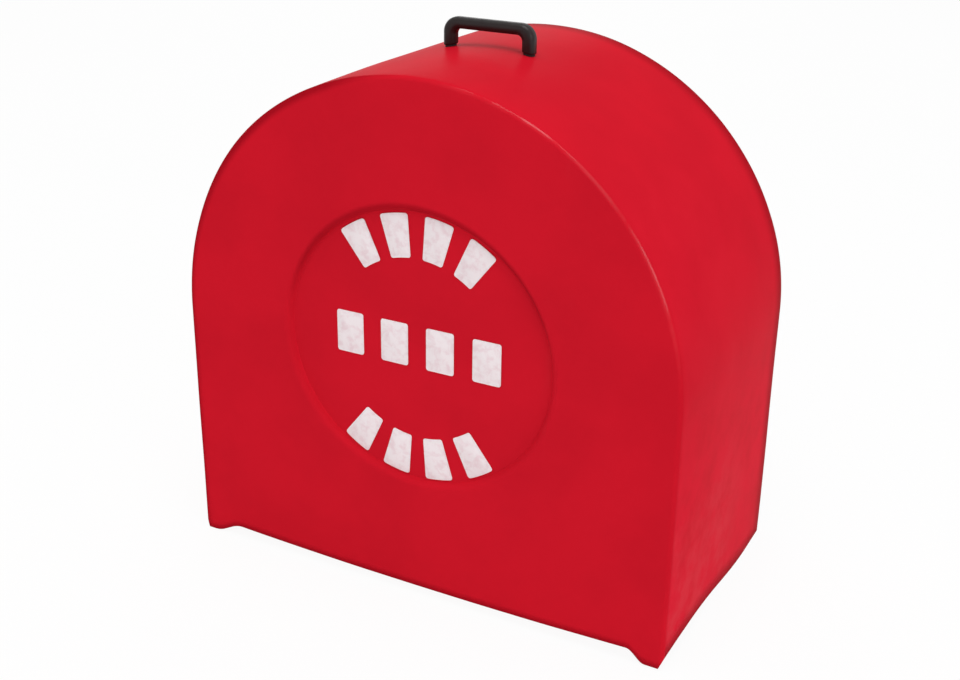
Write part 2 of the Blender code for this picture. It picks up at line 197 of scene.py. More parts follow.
class MarkSizes(bpy.types.PropertyGroup):
    count: bpy.props.IntProperty(name="Count", description="Blocks in each group", default=4, min=1, max=12)
    thickness: length("Thickness", "Thickness of the white film", 0.001)
    corner: length("Corner", "Radius of the blocks' corners", 0.003)
    edge: length("Edge", "Rounding of the film's edges", 0.0003)
    arc_length: length("Arc block length", "Length of the blocks towards the rim", 0.052)
    arc_margin: length("Arc margin", "Bare floor between the arc blocks and the panel's edge", 0.005)
    arc_angle: angle("Arc block angle", "Angle that each arc block covers", 13.0)
    arc_pitch: angle("Arc pitch", "Angle from one arc block to the next", 21.0)
    row_width: length("Row block width", "Width of the blocks in the row", 0.036)
    row_height: length("Row block height", "Height of the blocks in the row", 0.052)
    row_pitch: length("Row pitch", "Distance from one block in the row to the next", 0.060)
    row_rise: length("Row rise", "Height of the row above the panel's middle", 0.004)


# Sizes of the wear, and of the painted light, sheen and shade and the darker edges
class WearAndLightSizes(bpy.types.PropertyGroup):
    # Widths of the darker band along the trimmed edges and the front's left outline
    base_darkening: length("Base darkening", "Width of the darkening along the front's lower edge", 0.011)
    side_darkening: length("Side darkening", "Width of the darkening along the sides' lower edges", 0.024)
    wall_darkening: length("Wall darkening", "Width of the darkening along the wall side", 0.034)
    outline_darkening: length("Outline darkening", "Width of the darkening along the front's left outline", 0.011)
    outline_fade: length("Outline fade", "Distance over which that darkening ends before the middle", 0.110)
    edge_darkening: factor("Edge darkening", "How much the darkening along the edges covers", 0.75)
    # The painted shade under the sunk panel's upper edge
    ledge_shade: factor("Ledge shade", "How much the painted shade over the sunk panel covers", 0.55)
    ledge_gap: length("Ledge gap", "Distance of the painted shade's middle outside the panel's floor", 0.0025)
    ledge_core: length("Ledge core", "Half the width of the painted shade at its full strength", 0.0015)
    ledge_width: length("Ledge width", "Half the width of the painted shade with its soft border", 0.008)
    ledge_height: length("Ledge height", "Height over the panel's middle where the painted shade is full", 0.10)
    front_rim: length("Front rim", "Depth up to which the front edge wears like the front", 0.001)
    # The painted light on the band's right side
    side_light_low: factor("Side light low", "Height of the strongest painted light, in heights of the panel's middle", 0.4)
    side_light_high: number("Side light high", "Height of the weakest painted light, in heights of the panel's middle", 1.2)
    side_light_loss: factor("Side light loss", "How much of the painted light is lost higher up", 0.7)
    # The painted sheen on the lit side, low near the front
    sheen: factor("Sheen", "How strongly the chalky patches show", 0.35)
    sheen_near: length("Chalk near", "Depth on the side up to which the chalk is full", -0.02)
    sheen_far: length("Chalk far", "Depth on the side where the chalk ends", 0.12)
    sheen_low: length("Chalk low", "Height up to which the chalk is full", 0.12)
    sheen_high: length("Chalk high", "Height over which the chalk is faint", 0.24)
    sheen_loss: factor("Chalk loss", "How much of the chalk is lost higher up", 0.8)
    foot_low: length("Foot low", "Height up to which the feet are rubbed", 0.001)
    foot_high: length("Foot high", "Height over which the feet aren't rubbed", 0.006)
    streaks: factor("Streaks", "How strongly the pale streaks show", 0.10)
    polish: factor("Polish", "How strongly the polished front edge shows", 0.8)
    polish_right: length("Polish right", "Distance to the right of the middle where the polish is full", 0.15)
    polish_low: length("Polish low", "Height over the panel's middle where the polish starts", 0.02)
    polish_high: length("Polish high", "Height over the panel's middle where the polish is full", 0.16)


class Finishes(bpy.types.PropertyGroup):
    shell: colour("Shell", "Colour of the red moulded plastic", (0.60, 0.0092, 0.0220))
    # Rubbed places, and the painted sheen on the lit side
    shell_scuff_and_sheen: colour("Shell scuffs and sheen", "Colour of the plastic where it is rubbed, and of the painted sheen", (0.66, 0.060, 0.075))
    # Painted light: a lighter red for the band's right side
    shell_lit_side: colour("Shell lit side", "Colour painted on the plastic for the light on the band's right side", (0.70, 0.010, 0.030))
    # Painted shade under the panel's upper edge, and a darker band along the edges
    shell_shade_and_dark_edges: colour("Shell shade and dark edges", "Colour painted on the plastic as shade under the panel's edge and as darkening along its edges", (0.26, 0.003, 0.008))
    shell_roughness: factor("Shell roughness", "Roughness of the red moulded plastic", 0.34)
    shell_gloss: factor("Shell gloss", "How strongly the red moulded plastic reflects", 0.0022)
    handle: colour("Handle", "Colour of the handle's black plastic", (0.0145, 0.0085, 0.0088))
    handle_dust: colour("Handle dust", "Colour of the dust on the handle's top", (0.024, 0.026, 0.024))
    rubber: colour("Rubber", "Colour of the seals", (0.013, 0.012, 0.012))
    brass: colour("Brass", "Colour of the inserts", (0.78, 0.57, 0.26))
    nylon: colour("Nylon", "Colour of the saddle washers", (0.75, 0.73, 0.66))
    zinc: colour("Zinc", "Colour of the plated steel", (0.62, 0.63, 0.65))
    film: colour("Film", "Colour of the white film", (0.86, 0.78, 0.80))
    film_shade: colour("Film shade", "Colour of the film where it is thin or marked", (0.78, 0.60, 0.64))


class StageSizes(bpy.types.PropertyGroup):
    azimuth: angle("Azimuth", "Direction of the camera round the cover", 27.485)
    elevation: angle("Elevation", "Height of the camera above the horizon", 21.898)
    roll: angle("Roll", "Turn of the camera about its own axis", 0.905)
    distance: length("Distance", "Distance from the camera to its target", 1.6608)
    target_height: length("Target height", "Height of the point that the camera faces", 0.321)
    lens: number("Focal length", "Focal length of the camera", 49.9547, unit="CAMERA")
    shift_x: number("Shift X", "Sideways shift of the lens", -0.005780)
    shift_y: number("Shift Y", "Upward shift of the lens", -0.037013)
    floor_size: length("Floor size", "Width of the floor", 12.0)
    floor_colour: colour("Floor colour", "Colour of the floor and backdrop", (0.90, 0.90, 0.90))
    white_share: factor("White share", "How far the camera sees the floor as plain white", 0.93)
    sky_strength: number("Sky", "Strength of the soft light all round", 0.665)
    left_power: power("Left light", "Power of the left light", 8.0)
    right_power: power("Right light", "Power of the right light", 44.0)
    top_power: power("Top light", "Power of the top light", 92.0)
    rear_power: power("Rear light", "Power of the rear light", 11.0)


class Value:
    """A number socket in a node tree, which takes part in Python arithmetic by adding Math nodes."""

    def __init__(self, nodes, socket):
        self.nodes = nodes
        self.socket = socket

    def maths(self, operation, first, second=0.0):
        made = self.nodes.add("ShaderNodeMath", {"operation": operation}, {0: first, 1: second})
        return Value(self.nodes, made.outputs[0])

    def __add__(self, other):
        return self.maths("ADD", self, other)

    def __radd__(self, other):
        return self.maths("ADD", other, self)

    def __sub__(self, other):
        return self.maths("SUBTRACT", self, other)

    def __rsub__(self, other):
        return self.maths("SUBTRACT", other, self)

    def __mul__(self, other):
        return self.maths("MULTIPLY", self, other)

    def __rmul__(self, other):
        return self.maths("MULTIPLY", other, self)

    def __truediv__(self, other):
        return self.maths("DIVIDE", self, other)

    def __rtruediv__(self, other):
        return self.maths("DIVIDE", other, self)

    def __neg__(self):
        return self.maths("MULTIPLY", self, -1.0)

    def __abs__(self):
        return self.maths("ABSOLUTE", self)

    def root(self):
        return self.maths("SQRT", self)

    def sine(self):
        return self.maths("SINE", self)

    def cosine(self):
        return self.maths("COSINE", self)

    def larger(self, other):
        return self.maths("MAXIMUM", self, other)

    def above(self, other):
        return self.maths("GREATER_THAN", self, other)

    def ramp(self, low, high):
        """0 below low, 1 above high, and smooth between them."""
        made = self.nodes.add(
            "ShaderNodeMapRange",
            {"interpolation_type": "SMOOTHSTEP", "clamp": True},
            {"Value": self, "From Min": low, "From Max": high, "To Min": 0.0, "To Max": 1.0},
        )
        return Value(self.nodes, made.outputs[0])


class NodeBuilder:
    """Adds nodes to one tree, each with its settings, which are set first, and what feeds its sockets."""

    def __init__(self, tree):
        self.tree = tree

    def add(self, kind, settings=None, sockets=None):
        made = self.tree.nodes.new(kind)
        for name, value in (settings or {}).items():
            setattr(made, name, value)
        for key, value in (sockets or {}).items():
            self.feed(made.inputs[key], value)
        return made

    def feed(self, socket, value):
        if isinstance(value, Value):
            value = value.socket
        if isinstance(value, bpy.types.NodeSocket):
            self.tree.links.new(value, socket)
        else:
            socket.default_value = value

    def value(self, node, output=0):
        return Value(self, node.outputs[output])

    def parts(self, vector):
        """The three numbers of a vector."""
        made = self.add("ShaderNodeSeparateXYZ", None, {0: vector})
        return [Value(self, made.outputs[index]) for index in range(3)]

    def vector(self, x, y, z):
        return self.add("ShaderNodeCombineXYZ", None, {0: x, 1: y, 2: z}).outputs[0]

    def mix(self, share, first, second):
        """One colour changing to another with share."""
        sockets = {0: share, 6: first, 7: second}
        return self.add("ShaderNodeMix", {"data_type": "RGBA"}, sockets).outputs[2]


class Finish(NodeBuilder):
    """A material whose nodes read the piece's own coordinates."""

    def __init__(self, name, roughness=0.5, metallic=0.0, **constants):
        self.material = bpy.data.materials.new(name)
        self.material.use_nodes = True
        super().__init__(self.material.node_tree)
        self.shader = self.tree.nodes["Principled BSDF"]
        self.shader.inputs["Roughness"].default_value = roughness
        self.shader.inputs["Metallic"].default_value = metallic
        for socket, value in constants.items():
            self.shader.inputs[socket.replace("_", " ")].default_value = value
        self.place = self.add("ShaderNodeTexCoord").outputs["Object"]

    def stretched(self, scale):
        """The piece's coordinates, drawn out along an axis where scale is small."""
        return self.add("ShaderNodeMapping", None, {"Vector": self.place, "Scale": scale}).outputs[0]

    def noise(self, scale, detail=2.0, rough=0.5, distortion=0.0, place=None):
        sockets = {
            "Vector": place or self.place,
            "Scale": scale,
            "Detail": detail,
            "Roughness": rough,
            "Distortion": distortion,
        }
        return self.value(self.add("ShaderNodeTexNoise", None, sockets))

    def cells(self, scale):
        sockets = {"Vector": self.place, "Scale": scale}
        return self.value(self.add("ShaderNodeTexVoronoi", {"feature": "F1"}, sockets))

    def bump(self, height, distance, strength=1.0, under=None):
        sockets = {"Height": height, "Distance": distance, "Strength": strength}
        if under:
            sockets["Normal"] = under
        return self.add("ShaderNodeBump", None, sockets).outputs[0]

    def finish(self, base=None, roughness=None, normal=None):
        for socket, value in (("Base Color", base), ("Roughness", roughness), ("Normal", normal)):
            if value is not None:
                self.feed(self.shader.inputs[socket], value)
        return self.material


def opaque(tint, share=1.0):
    """A colour for a node, as it is or darkened to a share of itself."""
    return (*(channel * share for channel in tint), 1.0)


class RedPlastic(Finish):
    """The shell's plastic. Each method says how strongly one kind of wear, painted light, painted shade or
    darkening shows, from 0 to 1.
    """

    def __init__(self, finishes, shell, recess, wear):
        gloss = finishes.shell_gloss
        super().__init__("red moulded plastic", IOR=1.49, Specular_IOR_Level=gloss, Coat_Roughness=0.12)
        self.shell = shell
        self.recess = recess
        self.wear = wear
        self.x, self.y, self.z = self.parts(self.place)
        self.rise = self.z - recess.height
        self.on_band = self.y.ramp(FRONT + wear.front_rim, FRONT + 2 * shell.edge_radius)

    def lit_side(self):
        """Painted light: the band made lighter where it faces the right, in blotches, and most of all low
        down.
        """
        wear = self.wear
        height = self.recess.height
        toward_light = self.parts(self.add("ShaderNodeNewGeometry").outputs["Normal"])[0].ramp(0.55, 0.95)
        low = 1.0 - self.z.ramp(wear.side_light_low * height, wear.side_light_high * height) * wear.side_light_loss
        blotches = self.noise(scale=9.0, detail=4.0, rough=0.7).ramp(0.20, 0.62)
        return toward_light * self.on_band * low * blotches

    def sheeny(self):
        """Painted sheen in pale patches low down near the front corner."""
        wear = self.wear
        near = 1.0 - self.y.ramp(wear.sheen_near, wear.sheen_far)
        low = 1.0 - self.z.ramp(wear.sheen_low, wear.sheen_high) * wear.sheen_loss
        patches = self.noise(scale=14.0, detail=4.0, rough=0.7).ramp(0.40, 0.62)
        return near * low * patches * wear.sheen

    def shaded_and_darkened(self):
        """Painted shade under the sunk panel's upper edge, and a darker band along the trimmed edges."""
        wear = self.wear
        radius = (self.x * self.x + self.rise * self.rise).root()
        off_ledge = abs(radius - self.recess.radius - wear.ledge_gap)
        ledge = 1.0 - off_ledge.ramp(wear.ledge_core, wear.ledge_width)
        # painted shade under the sunk panel's upper edge
        shade_under_panel_edge = ledge * self.rise.ramp(0.0, wear.ledge_height) * (1.0 - self.on_band)
        # darker towards the trimmed edges and the front's left outline
        reach = self.value(self.add("ShaderNodeAttribute", {"attribute_name": EDGE_REACH}), "Fac")
        at_edge = 1.0 - reach.ramp(0.0, 1.0)
        return (shade_under_panel_edge * wear.ledge_shade).larger(at_edge * wear.edge_darkening)

    def rubbed(self):
        """Rubbed patches on the feet, which the cover stands on."""
        feet = 1.0 - self.z.ramp(self.wear.foot_low, self.wear.foot_high)
        return feet * self.noise(scale=55.0, detail=3.0, rough=0.65).ramp(0.50, 0.68)

    def streaked(self):
        """Pale streaks that run down."""
        upright = self.stretched((1.0, 1.0, 0.12))
        streaks = self.noise(scale=26.0, detail=4.0, rough=0.7, distortion=0.4, place=upright)
        return streaks.ramp(0.66, 0.80) * self.wear.streaks

    def polished(self):
        """The rounded front edge, right of the top, where hands have worn it smooth."""
        wear = self.wear
        rounding = self.shell.edge_radius
        above = (self.z - ARCH_HEIGHT).larger(0.0)
        outline = (self.x * self.x + above * above).root()
        on_edge = outline.ramp(ARCH_RADIUS - 2 * rounding, ARCH_RADIUS - 1.5 * rounding)
        depth = 0.3 * rounding
        core = 0.1 * rounding
        line = 1.0 - abs(self.y - FRONT - depth).ramp(core, depth)
        touched = self.x.ramp(0.0, wear.polish_right) * self.rise.ramp(wear.polish_low, wear.polish_high)
        patches = self.noise(scale=30.0, detail=3.0, rough=0.6).ramp(0.30, 0.60)
        return on_edge * line * touched * patches * wear.polish


def moulded_red(finishes, shell, recess, wear):
    """Smooth red plastic with a faint mottle, painted light, sheen and shade, darker edges and rubbed places.
    """
    made = RedPlastic(finishes, shell, recess, wear)
    deep_tone = 0.93
    cloud_range = 0.10
    mottle_range = 0.06
    rubbed_rise = 0.20
    pit_depth = 0.00003
    peel_depth = 0.00008
    mottle = made.noise(scale=7.0, detail=3.0, rough=0.55)
    clouds = made.noise(scale=2.2, detail=2.0, rough=0.5)
    lit_side = made.lit_side()
    rubbed = made.rubbed()
    base = made.mix(mottle.ramp(0.35, 0.65), opaque(finishes.shell, deep_tone), opaque(finishes.shell))
    for share, tint in (
        # painted light on the band's right side
        (lit_side, finishes.shell_lit_side),
        # painted sheen in pale patches on the lit side
        (lit_side * made.sheeny(), finishes.shell_scuff_and_sheen),
        # painted shade under the panel's upper edge, and darker trimmed edges
        (made.shaded_and_darkened(), finishes.shell_shade_and_dark_edges),
        (rubbed.larger(made.streaked()), finishes.shell_scuff_and_sheen),
    ):
        base = made.mix(share, base, opaque(tint))
    uneven = (clouds - 0.5) * cloud_range + (mottle - 0.5) * mottle_range
    roughness = finishes.shell_roughness + uneven + rubbed * rubbed_rise
    grain = made.noise(scale=900.0, detail=2.0, rough=0.6)
    peel = made.noise(scale=140.0, detail=2.0, rough=0.5)
    pits = made.bump(grain, pit_depth, strength=0.5)
    made.feed(made.shader.inputs["Coat Weight"], made.polished())
    return made.finish(base, roughness, made.bump(peel, peel_depth, strength=0.5, under=pits))


def moulded_black(finishes):
    """Black plastic with a fine spark-eroded texture, and grey dust on the faces that look up."""
    made = Finish("black moulded plastic", IOR=1.5, Specular_IOR_Level=0.30)
    dust_cover = 0.75
    smoothest = 0.26
    handled_rise = 0.16
    dust_rise = 0.14
    skin_depth = 0.00004
    upward = made.parts(made.add("ShaderNodeNewGeometry").outputs["Normal"])[2]
    dust = upward.ramp(0.25, 1.0) * made.noise(scale=160.0, detail=4.0, rough=0.6).ramp(0.30, 0.75)
    base = made.mix(dust * dust_cover, opaque(finishes.handle), opaque(finishes.handle_dust))
    handling = made.noise(scale=60.0, detail=3.0, rough=0.6)
    roughness = smoothest + handling * handled_rise + dust * dust_rise
    sparks = made.bump(made.cells(1500.0), skin_depth, strength=0.6)
    skin = made.bump(made.noise(scale=500.0), skin_depth, strength=0.5, under=sparks)
    return made.finish(base, roughness, skin)


def seal_rubber(finishes):
    """Dull black rubber with a fine bloom."""
    made = Finish("black rubber", IOR=1.52)
    bloom_cover = 0.5
    smoothest = 0.70
    bloom_rise = 0.2
    grain_depth = 0.00003
    bloom = made.noise(scale=400.0, detail=4.0, rough=0.65)
    bloomed = bloom.ramp(0.45, 0.75) * bloom_cover
    base = made.mix(bloomed, opaque(finishes.rubber), opaque(finishes.handle_dust))
    grain = made.bump(made.noise(scale=2200.0), grain_depth, strength=0.5)
    return made.finish(base, smoothest + bloom * bloom_rise, grain)


def turned_brass(finishes):
    """Brass with fine turning rings round the insert's axis, and dull in places."""
    made = Finish("brass", metallic=1.0)
    ring_waves = 9000.0
    ring_depth = 0.00002
    tarnish_cover = 0.6
    tarnish_tone = 0.62
    smoothest = 0.26
    tarnish_rise = 0.22
    height = made.parts(made.place)[2]
    rings = (height * ring_waves).sine()
    tarnish = made.noise(scale=500.0, detail=3.0, rough=0.6).ramp(0.4, 0.75)
    base = made.mix(tarnish * tarnish_cover, opaque(finishes.brass), opaque(finishes.brass, tarnish_tone))
    return made.finish(base, smoothest + tarnish * tarnish_rise, made.bump(rings, ring_depth, strength=0.4))


def natural_nylon(finishes):
    """Milky nylon, a little uneven in tone, with faint flow lines."""
    made = Finish("natural nylon", IOR=1.53, Subsurface_Weight=0.15, Subsurface_Scale=0.002)
    dull_tone = 0.86
    smoothest = 0.42
    flow_rise = 0.16
    flow_depth = 0.00004
    flow = made.noise(scale=180.0, detail=3.0, rough=0.6, distortion=1.2)
    base = made.mix(flow.ramp(0.35, 0.7), opaque(finishes.nylon, dull_tone), opaque(finishes.nylon))
    return made.finish(base, smoothest + flow * flow_rise, made.bump(flow, flow_depth, strength=0.4))


def plated_zinc(finishes):
    """Bright zinc plate with fine crystals, a dull haze and a faint straw tint in places."""
    made = Finish("zinc plated steel", metallic=1.0)
    straw = (0.60, 0.57, 0.47)
    dark_crystal = (0.45, 0.46, 0.49)
    bright_crystal = (0.75, 0.76, 0.78)
    crystal_share = 0.22
    crystal_depth = 0.00002
    straw_cover = 0.55
    smoothest = 0.27
    haze_rise = 0.22
    haze = made.noise(scale=240.0, detail=4.0, rough=0.65)
    crystals = made.cells(1800.0)
    tinted = made.mix(haze.ramp(0.52, 0.78) * straw_cover, opaque(finishes.zinc), opaque(straw))
    base = made.mix(crystal_share, tinted, made.mix(crystals, opaque(dark_crystal), opaque(bright_crystal)))
    return made.finish(base, smoothest + haze * haze_rise, made.bump(crystals, crystal_depth, strength=0.5))


def white_film(finishes):
    """White film that has gone faintly pink and cloudy, with a slightly uneven skin."""
    made = Finish("white film", IOR=1.46)
    cloud_cover = 0.75
    speck_cover = 0.5
    speck_depth = 0.00004
    smoothest = 0.34
    cloud_rise = 0.20
    cloud = made.noise(scale=95.0, detail=3.0, rough=0.6, distortion=0.3)
    specks = made.noise(scale=420.0, detail=3.0, rough=0.7)
    base = opaque(finishes.film)
    for share in (cloud.ramp(0.42, 0.70) * cloud_cover, specks.ramp(0.60, 0.80) * speck_cover):
        base = made.mix(share, base, opaque(finishes.film_shade))
    return made.finish(base, smoothest + cloud * cloud_rise, made.bump(specks, speck_depth, strength=0.5))


def add_object(name, mesh):
    made = bpy.data.objects.new(name, mesh)
    bpy.context.scene.collection.objects.link(made)
    return made


def plain_mesh(piece):
    """Turns the piece's modifiers into its mesh."""
    graph = bpy.context.evaluated_depsgraph_get()
    mesh = bpy.data.meshes.new_from_object(piece.evaluated_get(graph))
    piece.modifiers.clear()
    piece.data = mesh
    mesh.name = piece.name
    return piece


def dress(piece, finish, nodes):
    """Gives a finished piece its material, puts it on the body, and hides the solids it stands for."""
    piece.data.materials.clear()
    piece.data.materials.append(finish)
    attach(piece, BODY)
    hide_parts(*nodes)


def smooth(piece, crease):
    """Shades the piece as smooth, except where faces meet at more than the crease, which is in degrees."""
    piece.data.shade_smooth()
    piece.data.set_sharp_from_angle(angle=math.radians(crease))


def add_rounding(piece, width, steps, clamp=True, harden=False):
    """Rounds the piece's sharp edges when its modifiers are turned into its mesh."""
    soft = piece.modifiers.new("rounded edges", "BEVEL")
    soft.width = width
    soft.segments = steps
    soft.limit_method = "ANGLE"
    soft.angle_limit = SHARP
    soft.use_clamp_overlap = clamp
    soft.harden_normals = harden
    return piece


def pair(name):
    return [f"{name}_left", f"{name}_right"]


def arc(centre, radius, start, end, steps):
    """Points on an arc in a plane, from the start angle to the end angle."""
    angles = [start + (end - start) * step / steps for step in range(steps + 1)]
    return [(centre[0] + radius * math.cos(a), centre[1] + radius * math.sin(a)) for a in angles]


def spaced(start, end, steps):
    """Both ends and the numbers between them, at even steps."""
    return [start + (end - start) * step / steps for step in range(steps + 1)]


def eased(share):
    """A share held between 0 and 1, which leaves the one and reaches the other smoothly."""
    return (1 - math.cos(math.pi * min(max(share, 0.0), 1.0))) / 2


def arch_surface(radius, x):
    """Height at x of a cylinder of this radius on the arch's axis."""
    return ARCH_HEIGHT + math.sqrt(radius**2 - x**2)


class ShellSheet:
    """The shell's outer skin as one sheet of quads, from the middle of the sunk panel out to the rear lip."""

    ARCH_STEPS = 160
    SIDE_STEPS = 36
    FACE_STEPS = 18
    SHOULDER_STEPS = 14
    FILLET_STEPS = 4
    FLOOR_STEPS = 14
    EDGE_STEPS = 8
    REAR_STEPS = 4
    LIP_STEPS = 4
    BAND_PITCH = 0.008

    # Steps along half of the front's lower edge: the level middle, the slope and the foot
    LEVEL_STEPS = 30
    SLOPE_STEPS = 10
    FOOT_STEPS = 3

    # Half the square of faces that a screw hole replaces, and the radii of the rings round the hole
    HOLE_PATCH = 0.011
    HOLE_RINGS = (0.0075, 0.0055)

    # The faces' long and short waves: how many to the metre, where the short ones start, and their shares
    LONG_WAVES = 6.5
    SHORT_WAVES = 15.0
    SHORT_START = Vector((3.1, 0.0, 0.0))
    LONG_SHARE = 0.7

    # Radius of the handle's seats, and the distance from what stays true over which the waves grow
    SEAT_REACH = 0.012
    FADE = 0.030

    def __init__(self, shell, recess, wear, hole_radius):
        self.shell = shell
        self.recess = recess
        self.wear = wear
        self.hole_radius = hole_radius
        self.centre = Vector((0.0, recess.height))
        self.bmesh = bmesh.new()

    def feet(self):
        """The front foot's width, the length of its slope and its height, on the left and on the right."""
        shell = self.shell
        left = (shell.left_foot, shell.left_slope, shell.left_lift)
        right = (shell.right_foot, shell.right_slope, shell.right_lift)
        return left, right

    def front_edge(self, x):
        """Height of the trimmed front edge at x."""
        left, right = self.feet()
        foot, slope, lift = right if x > 0 else left
        share = 2 * x / WIDTH
        rise = self.shell.front_rise + self.shell.front_sag * share**2 + self.shell.front_tilt * share
        return lift + (rise - lift) * eased((WIDTH / 2 - foot - abs(x)) / slope)

    def side_edge(self, y):
        """Height of the trimmed side edges at y, behind the rounded corner."""
        shell = self.shell
        fall = (REAR - shell.side_rear_foot - y) / shell.side_rear_slope
        near = max(1.0 - (y - FRONT) / shell.side_dip_length, 0.0)
        return shell.side_rise * eased(fall) - shell.side_dip * near**2

    def drawn_in(self, y):
        """How far the outline at y is inside the rear outline."""
        short = 1.0 - (y - FRONT) / self.shell.straight_start
        return self.shell.draw_in * max(short, 0.0) ** 2

    def arch_line(self, y, inset, left_base, right_base):
        """The outline at y, drawn in by inset: up the right, over the top, and down the fuller left."""
        half = WIDTH / 2 - inset
        up = [(half, z) for z in spaced(right_base, ARCH_HEIGHT, self.SIDE_STEPS)[:-1]]
        right = arc((0.0, ARCH_HEIGHT), half, 0.0, QUARTER, self.ARCH_STEPS // 2)
        fuller = self.shell.fullness * self.drawn_in(y) / self.shell.draw_in
        left = []
        for turn in spaced(QUARTER, 2 * QUARTER, self.ARCH_STEPS // 2)[1:]:
            radius = half + fuller * math.sin(2 * turn) ** 4
            left.append((radius * math.cos(turn), ARCH_HEIGHT + radius * math.sin(turn)))
        down = [(-half, z) for z in spaced(ARCH_HEIGHT, left_base, self.SIDE_STEPS)[1:]]
        return [*up, *right, *left, *down]

    def front_base_line(self):
        """The front face's lower edge, from left to right, without its ends."""
        end = WIDTH / 2 - self.shell.draw_in - self.shell.edge_radius
        halves = []
        for foot, slope, _ in self.feet():
            start = WIDTH / 2 - foot
            level = start - slope
            along_level = spaced(0.0, level, self.LEVEL_STEPS)
            along_slope = spaced(level, start, self.SLOPE_STEPS)[1:]
            along_foot = spaced(start, end, self.FOOT_STEPS)[1:-1]
            halves.append([*along_level, *along_slope, *along_foot])
        left, right = halves
        xs = [*[-x for x in reversed(left)], *right[1:]]
        return [(x, self.front_edge(x)) for x in xs]

    def recess_profile(self):
        """Radius and depth from the start of the shoulder down to the floor and in over it."""
        sizes = self.recess
        fillet = sizes.floor_rounding
        slope = math.atan(sizes.steepening * sizes.depth / sizes.shoulder)
        end = (1 - fillet * (1 - math.cos(slope)) / sizes.depth) ** (1 / sizes.steepening)
        flat = sizes.radius - fillet * math.tan(slope / 2)
        shoulder = []
        for turn in spaced(0.0, QUARTER, self.SHOULDER_STEPS):
            share = end * math.sin(turn)
            radius = sizes.radius + sizes.shoulder * (1 - share)
            shoulder.append((radius, sizes.depth * share**sizes.steepening))
        corner = [
            (flat + fillet * math.sin(turn), sizes.depth - fillet * (1 - math.cos(turn)))
            for turn in spaced(slope, 0.0, self.FILLET_STEPS)[1:]
        ]
        floor = [(radius, sizes.depth) for radius in spaced(flat, 0.0, self.FLOOR_STEPS)[1:-1]]
        return [*shoulder, *corner, *floor]

    def on_ray(self, ray, radius):
        """The point at this radius of the sunk panel, which is a little wider than high."""
        stretch = self.recess.stretch
        return self.centre + Vector((ray.x * (1 + stretch), ray.y * (1 - stretch))) * radius

    def row(self, points):
        return [self.bmesh.verts.new(point) for point in points]

    def join(self, first, second, closed=False):
        count = len(first) if closed else len(first) - 1
        for index in range(count):
            after = (index + 1) % len(first)
            self.bmesh.faces.new((first[index], first[after], second[after], second[index]))

    def front(self):
        """The front face, the sunk panel, and the row of points that the band starts from."""
        lifts = [lift for _, _, lift in self.feet()]
        sheet = self.arch_line(FRONT, self.shell.draw_in + self.shell.edge_radius, *lifts)
        loop = [Vector(point) for point in [*sheet, *self.front_base_line()]]
        rays = [(point - self.centre).normalized() for point in loop]
        profile = self.recess_profile()
        mouth = profile[0][0]
        rows = []
        for share in spaced(1.0, 0.0, self.FACE_STEPS)[:-1]:
            places = [self.on_ray(ray, mouth).lerp(point, share) for ray, point in zip(rays, loop)]
            rows.append(self.row([(place.x, FRONT, place.y) for place in places]))
        for radius, depth in profile:
            places = [self.on_ray(ray, radius) for ray in rays]
            rows.append(self.row([(place.x, FRONT + depth, place.y) for place in places]))
        for first, second in zip(rows, rows[1:]):
            self.join(first, second, closed=True)
        pole = self.bmesh.verts.new((0.0, FRONT + self.recess.depth, self.recess.height))
        last = rows[-1]
        for index, point in enumerate(last):
            self.bmesh.faces.new((point, last[(index + 1) % len(last)], pole))
        return rows[0][: len(sheet)]

    def band(self, start):
        """The rounded front edge, the band, its rear edge and the lip, behind the row of points given."""
        shell = self.shell
        rows = []
        for turn in spaced(0.0, QUARTER, self.EDGE_STEPS)[1:]:
            y = FRONT + shell.edge_radius * (1 - math.cos(turn))
            bases = [lift + (self.side_edge(y) - lift) * math.sin(turn) for _, _, lift in self.feet()]
            rows.append((self.drawn_in(y) + shell.edge_radius * (1 - math.sin(turn)), y, *bases))
        edge_end = FRONT + shell.edge_radius
        rear_start = REAR - shell.rear_radius
        steps = round((rear_start - edge_end) / self.BAND_PITCH)
        for y in spaced(edge_end, rear_start, steps)[1:]:
            rows.append((self.drawn_in(y), y, self.side_edge(y), self.side_edge(y)))
        rear_centre = (shell.rear_radius, rear_start)
        rear_arc = arc(rear_centre, shell.rear_radius, 2 * QUARTER, QUARTER, self.REAR_STEPS)[1:]
        rows += [(inset, y, 0.0, 0.0) for inset, y in rear_arc]
        lip = spaced(shell.rear_radius, shell.lip_width, self.LIP_STEPS)[1:]
        rows += [(inset, REAR, 0.0, 0.0) for inset in lip]
        previous = start
        for inset, y, *bases in rows:
            current = self.row([(x, y, z) for x, z in self.arch_line(y, inset, *bases)])
            self.join(current, previous)
            previous = current

    def open_screw_hole(self, side):
        """Replaces a patch of the band by faces that run in to a round hole."""
        post = Vector((side * POST, 0.0))
        inside = []
        for face in self.bmesh.faces:
            middle = face.calc_center_median()
            off_post = max(abs(middle.x - post.x), abs(middle.y))
            if middle.z > ARCH_HEIGHT and off_post < self.HOLE_PATCH:
                inside.append(face)
        edges = {edge for face in inside for edge in face.edges}
        rim = [edge for edge in edges if sum(face in inside for face in edge.link_faces) == 1]
        points = {point for edge in rim for point in edge.verts}
        bmesh.ops.delete(self.bmesh, geom=inside, context="FACES")
        around = sorted(points, key=lambda p: math.atan2(p.co.y - post.y, p.co.x - post.x))
        rings = [around]
        for reach in (*self.HOLE_RINGS, self.hole_radius):
            ring = []
            for point in around:
                ray = (Vector((point.co.x, point.co.y)) - post).normalized()
                x = post.x + ray.x * reach
                ring.append(self.bmesh.verts.new((x, ray.y * reach, arch_surface(ARCH_RADIUS, x))))
            rings.append(ring)
        for first, second in zip(rings, rings[1:]):
            self.join(first, second, closed=True)

